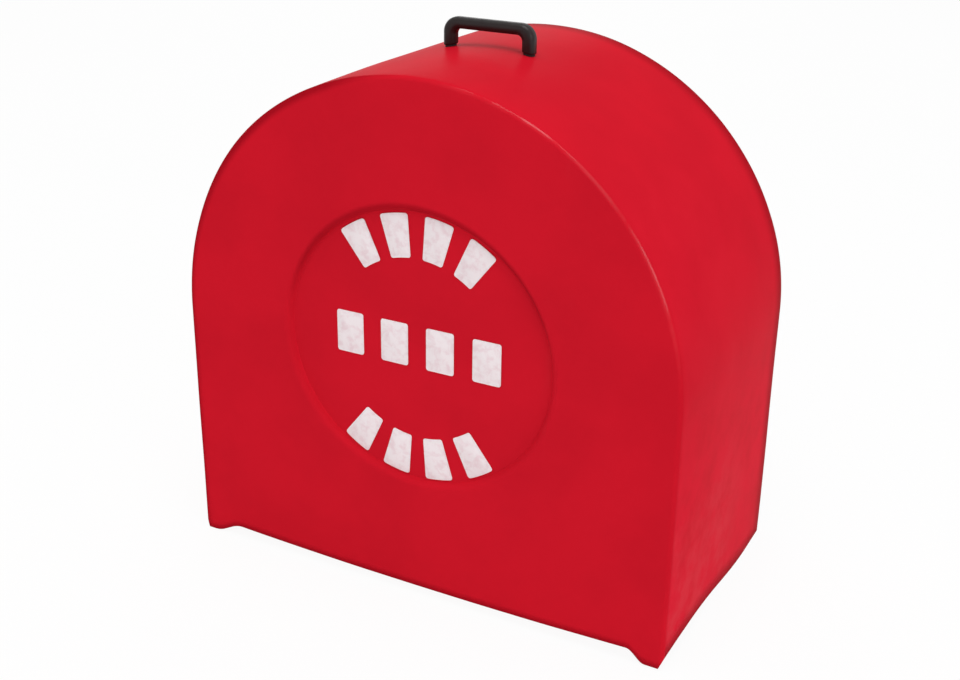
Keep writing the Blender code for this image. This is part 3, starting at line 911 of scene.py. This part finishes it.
    def wander(self):
        """Moves the faces in and out a little, except on the panel's floor and under the handle."""
        bmesh.ops.recalc_face_normals(self.bmesh, faces=self.bmesh.faces)
        self.bmesh.normal_update()
        moves = []
        mouth = self.recess_profile()[0][0]
        for point in self.bmesh.verts:
            place = point.co
            radius = math.hypot(place.x, place.z - self.recess.height)
            panel = max(radius - mouth, 0.0) if place.y < FRONT + self.shell.edge_radius else self.FADE
            seat = math.dist((abs(place.x), place.y, place.z), (POST, 0.0, HEIGHT)) - self.SEAT_REACH
            share = eased(panel / self.FADE) * eased(max(seat, 0.0) / self.FADE)
            long_waves = noise.noise(place * self.LONG_WAVES)
            short_waves = noise.noise(place * self.SHORT_WAVES + self.SHORT_START)
            drift = long_waves * self.LONG_SHARE + short_waves * (1.0 - self.LONG_SHARE)
            moves.append(point.normal * (self.shell.waviness * drift * share))
        for point, move in zip(self.bmesh.verts, moves):
            point.co += move

    def edge_reach(self, place):
        """Distance from the nearest trimmed edge, or the left outline, in widths of the darker band along it.
        """
        shell = self.shell
        wear = self.wear
        if place.y >= FRONT + shell.edge_radius:
            base = (place.z - self.side_edge(place.y)) / wear.side_darkening
            return min(base, (REAR - place.y) / wear.wall_darkening)
        base = (place.z - self.front_edge(place.x)) / wear.base_darkening
        outline = WIDTH / 2 - shell.draw_in - math.hypot(place.x, max(place.z - ARCH_HEIGHT, 0.0))
        past_fade = max(place.x / wear.outline_fade + 1.0, 0.0)
        return min(base, outline / wear.outline_darkening + past_fade)

    def mesh(self, name):
        start = self.front()
        self.band(start)
        bmesh.ops.remove_doubles(self.bmesh, verts=self.bmesh.verts, dist=WELD)
        for side in SIDES:
            self.open_screw_hole(side)
        self.wander()
        bmesh.ops.recalc_face_normals(self.bmesh, faces=self.bmesh.faces)
        front_face = min(self.bmesh.faces, key=lambda face: face.calc_center_median().y)
        if front_face.normal.y > 0:
            bmesh.ops.reverse_faces(self.bmesh, faces=self.bmesh.faces)
        made = bpy.data.meshes.new(name)
        self.bmesh.to_mesh(made)
        self.bmesh.free()
        return made


def build_shell(sizes, recess, wear, fasteners, finish):
    """The moulded shell: its skin given a wall, with the trimmed edges rounded a little."""
    sheet = ShellSheet(sizes, recess, wear, fasteners.hole_radius)
    piece = add_object("moulded_shell", sheet.mesh("moulded_shell"))
    piece.data.shade_smooth()
    wall = piece.modifiers.new("wall", "SOLIDIFY")
    wall.thickness = sizes.wall
    wall.offset = -1.0
    wall.use_even_offset = True
    wall.use_rim = True
    plain_mesh(add_rounding(piece, sizes.trim_rounding, steps=2, harden=True))
    reach = piece.data.attributes.new(EDGE_REACH, "FLOAT", "POINT")
    for point, stored in zip(piece.data.vertices, reach.data):
        stored.value = sheet.edge_reach(point.co)
    dress(piece, finish, ["cover_shell"])


def add_plate(name, outline, thickness):
    """A solid with this outline in X and Z, reaching evenly to both sides of the middle plane."""
    work = bmesh.new()
    front = [work.verts.new((x, -thickness / 2, z)) for x, z in outline]
    rear = [work.verts.new((x, thickness / 2, z)) for x, z in outline]
    work.faces.new(front)
    work.faces.new(list(reversed(rear)))
    for index in range(len(outline)):
        after = (index + 1) % len(outline)
        work.faces.new((front[after], front[index], rear[index], rear[after]))
    bmesh.ops.recalc_face_normals(work, faces=work.faces)
    mesh = bpy.data.meshes.new(name)
    work.to_mesh(mesh)
    work.free()
    return add_object(name, mesh)


def add_cylinder(name, radius, bottom, top, steps, place):
    """A capped cylinder that runs from bottom to top in Z before it is placed."""
    work = bmesh.new()
    sizes = {"radius1": radius, "radius2": radius, "depth": top - bottom}
    bmesh.ops.create_cone(work, cap_ends=True, segments=steps, **sizes)
    bmesh.ops.translate(work, vec=(0.0, 0.0, (top + bottom) / 2), verts=work.verts)
    mesh = bpy.data.meshes.new(name)
    work.to_mesh(mesh)
    work.free()
    made = add_object(name, mesh)
    made.matrix_world = place
    bpy.context.view_layer.update()
    return made


def cut(piece, tool):
    """Takes the tool's shape out of the piece, and removes the tool."""
    modifier = piece.modifiers.new("cut", "BOOLEAN")
    modifier.operation = "DIFFERENCE"
    modifier.solver = "EXACT"
    modifier.object = tool
    plain_mesh(piece)
    bpy.data.objects.remove(tool, do_unlink=True)


def handle_outline(sizes):
    """The handle seen from the front, with legs that reach below the top of the arch."""
    outer = HANDLE_HIGH.x
    inner = outer - sizes.leg_width
    top = HANDLE_HIGH.z
    foot = HANDLE_LOW.z - OVERCUT
    corner = sizes.corner
    armpit = sizes.inner_corner
    low = top - sizes.grip_thickness - armpit
    reach = inner - armpit
    return [
        (outer, foot),
        *arc((outer - corner, top - corner), corner, 0.0, QUARTER, SHOULDER_STEPS),
        *arc((corner - outer, top - corner), corner, QUARTER, 2 * QUARTER, SHOULDER_STEPS),
        (-outer, foot),
        (-inner, foot),
        *arc((-reach, low), armpit, 2 * QUARTER, QUARTER, SHOULDER_STEPS),
        *arc((reach, low), armpit, QUARTER, 0.0, SHOULDER_STEPS),
        (inner, foot),
    ]


def build_handle(sizes, fasteners, finish):
    """A bridge handle with round edges, feet that follow the arch, and a bore in each leg."""
    depth = HANDLE_HIGH.y - HANDLE_LOW.y
    piece = add_plate("bridge_handle", handle_outline(sizes), depth)
    plain_mesh(add_rounding(piece, sizes.rounding, EDGE_STEPS, clamp=False))
    to_arch = Matrix.Translation((0.0, 0.0, ARCH_HEIGHT)) @ Matrix.Rotation(QUARTER, 4, "X")
    cut(piece, add_cylinder("arch", FOOT_ARCH, -depth, depth, 2 * ShellSheet.ARCH_STEPS, to_arch))
    plain_mesh(add_rounding(piece, sizes.foot_rounding, FOOT_STEPS, clamp=False))
    bore = (INSERT_HIGH.x - INSERT_LOW.x) / 2 + fasteners.gap
    bottom = INSERT_LOW.z - OVERCUT
    top = INSERT_HIGH.z + fasteners.gap
    for side in SIDES:
        to_post = Matrix.Translation((side * POST, 0.0, 0.0))
        cut(piece, add_cylinder("bore", bore, bottom, top, BORE_STEPS, to_post))
    smooth(piece, crease=38)
    dress(piece, finish, ["carry_handle"])


class ShapeTree(NodeBuilder):
    """A Geometry Nodes tree with named inputs, which ends in plain geometry with its material set."""

    def __init__(self, name, *numbers, counts=()):
        tree = bpy.data.node_groups.new(name, "GeometryNodeTree")
        super().__init__(tree)
        tree.interface.new_socket("Geometry", in_out="OUTPUT", socket_type="NodeSocketGeometry")
        kinds = {"NodeSocketFloat": numbers, "NodeSocketInt": counts, "NodeSocketMaterial": ("Material",)}
        for kind, titles in kinds.items():
            for title in titles:
                tree.interface.new_socket(title, in_out="INPUT", socket_type=kind)
        self.entry = tree.nodes.new("NodeGroupInput")
        self.exit = tree.nodes.new("NodeGroupOutput")

    def input(self, name):
        return Value(self, self.entry.outputs[name])

    def inputs(self, *names):
        return [self.input(name) for name in names]

    def end(self, geometry):
        real = self.add("GeometryNodeRealizeInstances", None, {0: geometry}).outputs[0]
        sockets = {"Geometry": real, "Material": self.entry.outputs["Material"]}
        self.feed(self.exit.inputs[0], self.add("GeometryNodeSetMaterial", None, sockets).outputs[0])
        return self.tree

    def moved(self, geometry, offset=None, turn=None):
        sockets = {"Geometry": geometry}
        for key, value in (("Translation", offset), ("Rotation", turn)):
            if value is not None:
                sockets[key] = value
        return self.add("GeometryNodeTransform", None, sockets).outputs[0]

    def lifted(self, geometry, height):
        return self.moved(geometry, self.vector(0.0, 0.0, height))

    def joined(self, *geometries):
        made = self.add("GeometryNodeJoinGeometry")
        for geometry in geometries:
            self.feed(made.inputs[0], geometry)
        return made.outputs[0]

    def at_posts(self, geometry):
        """The same geometry at both of the handle's posts."""
        post = self.input("Post")
        ends = {"Start Location": self.vector(-post, 0.0, 0.0), "Offset": self.vector(post, 0.0, 0.0)}
        line = self.add("GeometryNodeMeshLine", {"mode": "END_POINTS"}, {"Count": 2, **ends})
        sockets = {"Points": line.outputs[0], "Instance": geometry}
        return self.add("GeometryNodeInstanceOnPoints", None, sockets).outputs[0]

    def swept(self, path, section):
        sockets = {"Curve": path, "Profile Curve": section, "Fill Caps": True}
        return self.add("GeometryNodeCurveToMesh", None, sockets).outputs[0]

    def rounded_rectangle(self, width, height, rounding, steps):
        sides = {"Width": width, "Height": height}
        rectangle = self.add("GeometryNodeCurvePrimitiveQuadrilateral", None, sides).outputs[0]
        sockets = {"Curve": rectangle, "Count": steps, "Radius": rounding}
        return self.add("GeometryNodeFilletCurve", {"mode": "POLY"}, sockets).outputs[0]

    def circle(self, radius, steps):
        sockets = {"Radius": radius, "Resolution": steps}
        return self.add("GeometryNodeCurvePrimitiveCircle", None, sockets).outputs[0]

    def cylinder(self, sides, radius, depth):
        """A cylinder or prism about the origin."""
        sockets = {"Vertices": sides, "Radius": radius, "Depth": depth}
        return self.add("GeometryNodeMeshCylinder", None, sockets).outputs[0]

    def cone(self, sides, bottom, top, depth):
        """A cone that stands on the origin, with these radii at its ends."""
        sockets = {"Vertices": sides, "Radius Bottom": bottom, "Radius Top": top, "Depth": depth}
        return self.add("GeometryNodeMeshCone", None, sockets).outputs[0]

    def placed(self, geometry, position):
        sockets = {"Geometry": geometry, "Position": position}
        return self.add("GeometryNodeSetPosition", None, sockets).outputs[0]

    def positions(self):
        return self.parts(self.add("GeometryNodeInputPosition").outputs[0])


WASHER_INPUTS = ("Post", "Hole", "Outside", "Bottom", "Top", "Edge")


def ring_tree():
    """Round washers with rounded edges at both posts. A face either lies flat or follows the arch."""
    made = ShapeTree("washers at both posts", *WASHER_INPUTS, "Arch Height", "Bottom Arch", "Top Arch")
    hole, outside, bottom, top, edge = made.inputs("Hole", "Outside", "Bottom", "Top", "Edge")
    height = top - bottom
    section = made.rounded_rectangle(outside - hole, height, edge, CORNER_STEPS)
    ring = made.swept(made.circle((outside + hole) / 2.0, RING_STEPS), section)
    both = made.add("GeometryNodeRealizeInstances", None, {0: made.at_posts(ring)}).outputs[0]
    x, y, z = made.positions()
    share = z / height + 0.5
    faces = []
    for level, arch in ((bottom, made.input("Bottom Arch")), (top, made.input("Top Arch"))):
        followed = made.input("Arch Height") + (arch * arch - x * x).larger(0.0).root()
        follows = arch.above(0.0)
        faces.append(level * (1.0 - follows) + followed * follows)
    return made.end(made.placed(both, made.vector(x, y, faces[0] * (1.0 - share) + faces[1] * share)))


def split_ring_tree():
    """Split washers at both posts: one turn of square wire that climbs a little from end to end."""
    made = ShapeTree("split washers at both posts", *WASHER_INPUTS, "Split", "Climb")
    hole, outside, bottom, top, edge = made.inputs("Hole", "Outside", "Bottom", "Top", "Edge")
    split, climb = made.inputs("Split", "Climb")
    sockets = {
        "Resolution": RING_STEPS,
        "Radius": (outside + hole) / 2.0,
        "Start Angle": split / 2.0 - QUARTER,
        "Sweep Angle": 4 * QUARTER - split,
    }
    turn = made.add("GeometryNodeCurveArc", {"mode": "RADIUS"}, sockets).outputs[0]
    along = made.value(made.add("GeometryNodeSplineParameter"))
    x, y, z = made.positions()
    climbing = made.placed(turn, made.vector(x, y, z + (along - 0.5) * climb))
    section = made.rounded_rectangle(outside - hole, top - bottom - climb, edge, CORNER_STEPS)
    return made.end(made.at_posts(made.lifted(made.swept(climbing, section), (top + bottom) / 2.0)))


def screw_tree():
    """Hexagon-head screws at both posts, standing on their heads: chamfered head, shank, thread and point."""
    numbers = ("Post", "Bottom", "Top", "Head Height", "Head Radius", "Radius", "Pitch", "Depth")
    made = ShapeTree("screws at both posts", *numbers)
    bottom, top, head_height, head_radius = made.inputs("Bottom", "Top", "Head Height", "Head Radius")
    radius, pitch, depth = made.inputs("Radius", "Pitch", "Depth")
    head_turn = math.radians(15)
    chamfer_start = 0.84
    chamfer_slope = 1.732
    chamfer_steps = 96
    shank_steps = 32
    thread_steps = 20
    thread_sides = 4
    underlap = 0.0005
    hexagon = made.moved(made.cylinder(6, head_radius, head_height), turn=(0.0, 0.0, head_turn))
    foot = head_radius * chamfer_start
    chamfer = made.cone(chamfer_steps, foot, foot + head_height * chamfer_slope, head_height)
    head = made.add("GeometryNodeMeshBoolean", {"operation": "INTERSECT", "solver": "EXACT"})
    for geometry in (hexagon, chamfer):
        made.feed(head.inputs["Mesh 2"], geometry)
    core = radius - depth
    point_length = depth * 2.0
    shank_length = top - bottom - head_height
    shank = made.cylinder(shank_steps, core, shank_length - point_length + underlap)
    shank_middle = head_height + (shank_length - point_length - underlap) / 2.0
    point = made.cone(shank_steps, core, core - depth, point_length)
    thread_length = shank_length - pitch * 2.0
    sockets = {
        "Resolution": thread_steps,
        "Rotations": thread_length / pitch,
        "Start Radius": core,
        "End Radius": core,
        "Height": thread_length,
    }
    spiral = made.add("GeometryNodeCurveSpiral", None, sockets).outputs[0]
    screw = made.joined(
        made.lifted(head.outputs[0], head_height / 2.0),
        made.lifted(shank, shank_middle),
        made.lifted(point, head_height + shank_length - depth),
        made.lifted(made.swept(spiral, made.circle(depth, thread_sides)), head_height + pitch * 0.5),
    )
    return made.end(made.at_posts(made.lifted(screw, bottom)))


def block_tree(name, curved):
    """Rounded blocks of film side by side: in an arc round the panel's middle, or in a straight row."""
    numbers = ("Width", "Height", "Corner", "Thickness", "Pitch", "Turn")
    made = ShapeTree(name, *numbers, "Middle Radius", "Back", "Panel Height", counts=("Count",))
    corner_steps = 8
    point_spacing = 0.0015
    outline = made.rounded_rectangle(*made.inputs("Width", "Height", "Corner"), corner_steps)
    sockets = {"Curve": outline, "Length": point_spacing}
    bent = made.add("GeometryNodeResampleCurve", {"mode": "LENGTH"}, sockets).outputs[0]
    if curved:
        x, y = made.positions()[:2]
        middle = made.input("Middle Radius")
        reach = middle + y
        turn = x / middle
        bent = made.placed(bent, made.vector(reach * turn.sine(), reach * turn.cosine(), 0.0))
    face = made.add("GeometryNodeFillCurve", {"mode": "NGONS"}, {"Curve": bent}).outputs[0]
    sockets = {"Mesh": face, "Offset Scale": made.input("Thickness"), "Individual": False}
    raised = made.add("GeometryNodeExtrudeMesh", {"mode": "FACES"}, sockets).outputs[0]
    back = made.add("GeometryNodeFlipFaces", None, {"Mesh": face}).outputs[0]
    sockets = {"Geometry": made.joined(raised, back), "Distance": WELD}
    block = made.add("GeometryNodeMergeByDistance", None, sockets).outputs[0]
    count = made.input("Count")
    number = made.value(made.add("GeometryNodeInputIndex")) - (count - 1.0) / 2.0
    step = number * made.input("Pitch")
    rotation = made.vector(0.0, 0.0, made.input("Turn") - step if curved else 0.0)
    place = made.vector(0.0 if curved else step, 0.0, 0.0)
    points = made.placed(made.add("GeometryNodeMeshLine", None, {"Count": count}).outputs[0], place)
    sockets = {"Points": points, "Instance": block, "Rotation": rotation}
    blocks = made.add("GeometryNodeInstanceOnPoints", None, sockets).outputs[0]
    offset = made.vector(0.0, made.input("Back"), made.input("Panel Height"))
    return made.end(made.moved(blocks, offset, (QUARTER, 0.0, 0.0)))


def shaped(name, tree, finish, measures):
    """An object made by a tree with these values for its named inputs, turned into a plain mesh."""
    piece = add_object(name, bpy.data.meshes.new(name))
    modifier = piece.modifiers.new(tree.name, "NODES")
    modifier.node_group = tree
    sockets = {item.name: item.identifier for item in tree.interface.items_tree if item.in_out == "INPUT"}
    for title, value in measures.items():
        modifier[sockets[title]] = value
    modifier[sockets["Material"]] = finish
    bpy.context.view_layer.update()
    return plain_mesh(piece)


def clear_rays(made, glossy_share):
    """How far a ray sees white: one from the camera or through glass does, one off a shiny face partly."""
    path = made.add("ShaderNodeLightPath")
    clear = made.value(path, "Is Camera Ray").larger(made.value(path, "Is Transmission Ray"))
    return clear.larger(made.value(path, "Is Glossy Ray") * glossy_share)


def floor_material(settings):
    """Pale floor that the camera sees as white wherever the cover's shadow doesn't fall."""
    made = Finish("pale floor", roughness=0.9)
    dull_tone = 0.98
    cloud = made.noise(scale=1.5).ramp(0.3, 0.7)
    base = made.mix(cloud, opaque(settings.floor_colour), opaque(settings.floor_colour, dull_tone))
    made.feed(made.shader.inputs["Base Color"], base)
    seen = clear_rays(made, GLOSSY_FLOOR) * settings.white_share
    glow = made.add("ShaderNodeEmission", None, {"Color": WHITE, "Strength": 1.0})
    sockets = {0: seen, 1: made.shader.outputs[0], 2: glow.outputs[0]}
    mixed = made.add("ShaderNodeMixShader", None, sockets)
    made.feed(made.tree.nodes["Material Output"].inputs["Surface"], mixed.outputs[0])
    return made.material


def sky(settings):
    """Plain soft light all round, which the camera and shiny faces see as white."""
    world = bpy.data.worlds.new("soft studio")
    bpy.context.scene.world = world
    world.use_nodes = True
    made = NodeBuilder(world.node_tree)
    background = world.node_tree.nodes["Background"]
    seen = clear_rays(made, GLOSSY_SKY)
    made.feed(background.inputs["Color"], WHITE)
    made.feed(background.inputs["Strength"], settings.sky_strength + seen * (1.0 - settings.sky_strength))


def area_light(name, strength, size, place, target):
    """A rectangular lamp that faces the target."""
    lamp = bpy.data.lights.new(name, "AREA")
    lamp.shape = "RECTANGLE"
    lamp.size, lamp.size_y = size
    lamp.energy = strength
    made = add_object(name, lamp)
    made.location = place
    made.rotation_euler = (Vector(target) - Vector(place)).to_track_quat("-Z", "Y").to_euler()


def add_camera(settings):
    """The camera on its circle round the cover, facing the target, with its roll."""
    turn = settings.azimuth
    rise = settings.elevation
    roll = settings.roll
    back = Vector((math.sin(turn) * math.cos(rise), -math.cos(turn) * math.cos(rise), math.sin(rise)))
    right = Vector((math.cos(turn), math.sin(turn), 0.0))
    up = back.cross(right)
    across = right * math.cos(roll) + up * math.sin(roll)
    upward = up * math.cos(roll) - right * math.sin(roll)
    place = Vector((0.0, 0.0, settings.target_height)) + back * settings.distance
    lens = bpy.data.cameras.new("camera")
    lens.sensor_width = SENSOR_WIDTH
    lens.lens = settings.lens
    lens.shift_x = settings.shift_x
    lens.shift_y = settings.shift_y
    camera = add_object("camera", lens)
    rows = [[column[row] for column in (across, upward, back, place)] for row in range(3)]
    camera.matrix_world = Matrix([*rows, [0.0, 0.0, 0.0, 1.0]])
    bpy.context.scene.camera = camera


def washer_sizes(low, high, hole, edge):
    """A washer's sizes, from the corners of its solid's box, its hole and its rounding."""
    outside = (high.x - low.x) / 2
    return {"Post": POST, "Hole": hole, "Outside": outside, "Bottom": low.z, "Top": high.z, "Edge": edge}


def build_seals(sizes, finish):
    """Rubber rings between the legs and the arch."""
    measures = washer_sizes(SEAL_LOW, SEAL_HIGH, sizes.hole_radius, sizes.edge)
    measures["Bottom"] = 0.0
    measures["Top"] = FOOT_ARCH - ARCH_RADIUS - 2 * sizes.gap
    measures["Arch Height"] = ARCH_HEIGHT
    measures["Bottom Arch"] = ARCH_RADIUS + sizes.gap
    measures["Top Arch"] = FOOT_ARCH - sizes.gap
    piece = shaped("handle_seals", ring_tree(), finish, measures)
    piece.data.shade_smooth()
    dress(piece, finish, pair("handle_seal"))


def build_washers(shell, sizes, nylon, zinc):
    """Curved nylon saddles against the arch, wide steel washers under them, and split washers under those."""
    rings = ring_tree()
    hole = sizes.hole_radius
    saddle = washer_sizes(SADDLE_LOW, SADDLE_HIGH, hole, sizes.edge)
    saddle["Arch Height"] = ARCH_HEIGHT
    saddle["Top Arch"] = ARCH_RADIUS - shell.wall - sizes.gap
    penny = washer_sizes(PENNY_LOW, PENNY_HIGH, hole, sizes.edge)
    split = washer_sizes(SPRING_LOW, SPRING_HIGH, sizes.screw_radius + sizes.gap, sizes.edge / 2)
    split["Split"] = sizes.split
    split["Climb"] = sizes.gap
    for node, tree, finish, slot, measures in (
        ("saddle_washer", rings, nylon, "nylon", saddle),
        ("penny_washer", rings, zinc, "zinc", penny),
        ("spring_washer", split_ring_tree(), zinc, "zinc", split),
    ):
        piece = shaped(f"{node}s", tree, finish, measures)
        smooth(piece, crease=40)
        dress(piece, finish, pair(node))


def build_screws(sizes, finish):
    """The hexagon-head screws that hold the handle."""
    measures = {
        "Post": POST,
        "Bottom": SCREW_LOW.z,
        "Top": SCREW_HIGH.z,
        "Head Height": sizes.head_height,
        "Head Radius": (SCREW_HIGH.x - SCREW_LOW.x) / 2,
        "Radius": sizes.screw_radius,
        "Pitch": sizes.thread_pitch,
        "Depth": sizes.thread_depth,
    }
    piece = shaped("handle_screws", screw_tree(), finish, measures)
    smooth(piece, crease=25)
    dress(piece, finish, pair("handle_screw"))


def fit_inserts(finish):
    """The brass inserts stay as their solids, with a finish of their own."""
    for name in pair("handle_insert"):
        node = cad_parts[name]
        node.data.materials.clear()
        node.data.materials.append(finish)


def build_marks(sizes, recess, finish):
    """The white blocks on the sunk panel: an arc above, a row across the middle and an arc below."""
    middle = recess.radius - sizes.arc_margin - sizes.arc_length / 2
    arcs = block_tree("blocks in an arc", True)
    row = block_tree("blocks in a row", False)
    arc_sizes = {"Width": sizes.arc_angle * middle, "Height": sizes.arc_length, "Pitch": sizes.arc_pitch}
    row_sizes = {"Width": sizes.row_width, "Height": sizes.row_height, "Pitch": sizes.row_pitch}
    shared = {
        "Count": sizes.count,
        "Corner": sizes.corner,
        "Thickness": sizes.thickness,
        "Middle Radius": middle,
        "Back": MARK_HIGH.y,
    }
    for group, tree, group_sizes, turn, rise in (
        ("upper", arcs, arc_sizes, 0.0, 0.0),
        ("centre", row, row_sizes, 0.0, sizes.row_rise),
        ("lower", arcs, arc_sizes, 2 * QUARTER, 0.0),
    ):
        place = {"Turn": turn, "Panel Height": recess.height + rise}
        piece = shaped(f"{group}_marks", tree, finish, {**shared, **group_sizes, **place})
        plain_mesh(add_rounding(piece, sizes.edge, steps=2))
        smooth(piece, crease=35)
        dress(piece, finish, [f"mark_{group}_{number}" for number in range(1, 5)])


def build_stage(settings):
    """Pale floor, soft lamps and camera."""
    half = settings.floor_size / 2
    corners = [(-half, -half, 0.0), (half, -half, 0.0), (half, half, 0.0), (-half, half, 0.0)]
    mesh = bpy.data.meshes.new("floor")
    mesh.from_pydata(corners, [], [(0, 1, 2, 3)])
    floor = add_object("floor", mesh)
    mesh.materials.append(floor_material(settings))
    sky(settings)
    target = (0.0, 0.0, settings.target_height)
    for name, strength, size, place in (
        ("left light", settings.left_power, (3.0, 2.4), (-2.2, -4.6, 1.7)),
        ("right light", settings.right_power, (2.6, 2.4), (4.6, -2.4, 2.0)),
        ("top light", settings.top_power, (2.6, 3.2), (0.5, -1.0, 4.8)),
        ("rear light", settings.rear_power, (2.4, 1.2), (-2.4, 4.4, 1.7)),
    ):
        area_light(name, strength, size, place, target)
    add_camera(settings)


class CoverSettings(bpy.types.PropertyGroup):
    shell: bpy.props.PointerProperty(type=ShellSizes)
    recess: bpy.props.PointerProperty(type=RecessSizes)
    handle: bpy.props.PointerProperty(type=HandleSizes)
    fasteners: bpy.props.PointerProperty(type=FastenerSizes)
    marks: bpy.props.PointerProperty(type=MarkSizes)
    wear: bpy.props.PointerProperty(type=WearAndLightSizes)
    finishes: bpy.props.PointerProperty(type=Finishes)
    stage: bpy.props.PointerProperty(type=StageSizes)


class BuildShell(bpy.types.Operator):
    """Moulds the shell with its sunk panel, rear lip and trimmed base"""

    bl_idname = "reel_cover.build_shell"
    bl_label = "Build shell"

    def execute(self, context):
        cover = context.scene.reel_cover
        finish = moulded_red(cover.finishes, cover.shell, cover.recess, cover.wear)
        build_shell(cover.shell, cover.recess, cover.wear, cover.fasteners, finish)
        return {"FINISHED"}


class BuildHandle(bpy.types.Operator):
    """Moulds the bridge handle"""

    bl_idname = "reel_cover.build_handle"
    bl_label = "Build handle"

    def execute(self, context):
        cover = context.scene.reel_cover
        build_handle(cover.handle, cover.fasteners, moulded_black(cover.finishes))
        return {"FINISHED"}


class BuildSeals(bpy.types.Operator):
    """Puts a rubber seal under each leg"""

    bl_idname = "reel_cover.build_seals"
    bl_label = "Build seals"

    def execute(self, context):
        cover = context.scene.reel_cover
        build_seals(cover.fasteners, seal_rubber(cover.finishes))
        return {"FINISHED"}


class BuildFasteners(bpy.types.Operator):
    """Puts the inserts in the legs, and the washers and screws inside the shell"""

    bl_idname = "reel_cover.build_fasteners"
    bl_label = "Build fasteners"

    def execute(self, context):
        cover = context.scene.reel_cover
        zinc = plated_zinc(cover.finishes)
        fit_inserts(turned_brass(cover.finishes))
        build_washers(cover.shell, cover.fasteners, natural_nylon(cover.finishes), zinc)
        build_screws(cover.fasteners, zinc)
        return {"FINISHED"}


class BuildMarks(bpy.types.Operator):
    """Lays the white blocks on the sunk panel"""

    bl_idname = "reel_cover.build_marks"
    bl_label = "Build marks"

    def execute(self, context):
        cover = context.scene.reel_cover
        build_marks(cover.marks, cover.recess, white_film(cover.finishes))
        return {"FINISHED"}


class BuildStage(bpy.types.Operator):
    """Sets the floor, the lamps and the camera"""

    bl_idname = "reel_cover.build_stage"
    bl_label = "Build stage"

    def execute(self, context):
        build_stage(context.scene.reel_cover.stage)
        context.scene.view_settings.view_transform = "Standard"
        return {"FINISHED"}


BUILDERS = (BuildShell, BuildHandle, BuildSeals, BuildFasteners, BuildMarks, BuildStage)


class CoverPanel(bpy.types.Panel):
    """Lists the steps that build the cover, and its sizes"""

    bl_idname = "VIEW3D_PT_reel_cover"
    bl_label = "Fire hose reel cover"
    bl_space_type = "VIEW_3D"
    bl_region_type = "UI"
    bl_category = "Reel Cover"

    def draw(self, context):
        cover = context.scene.reel_cover
        for builder in BUILDERS:
            self.layout.operator(builder.bl_idname)
        for name in type(cover).__annotations__:
            column = self.layout.column(align=True)
            column.label(text=name.capitalize())
            group = getattr(cover, name)
            for title in type(group).__annotations__:
                column.prop(group, title)


GROUPS = (
    ShellSizes,
    RecessSizes,
    HandleSizes,
    FastenerSizes,
    MarkSizes,
    WearAndLightSizes,
    Finishes,
    StageSizes,
    CoverSettings,
)


def register():
    for item in (*GROUPS, *BUILDERS, CoverPanel):
        bpy.utils.register_class(item)
    bpy.types.Scene.reel_cover = bpy.props.PointerProperty(type=CoverSettings)


def unregister():
    del bpy.types.Scene.reel_cover
    for item in reversed((*GROUPS, *BUILDERS, CoverPanel)):
        bpy.utils.unregister_class(item)


def main():
    register()
    for builder in BUILDERS:
        step = builder.bl_idname.split(".")[1]
        getattr(bpy.ops.reel_cover, step)()


if __name__ == "__main__":
    main()
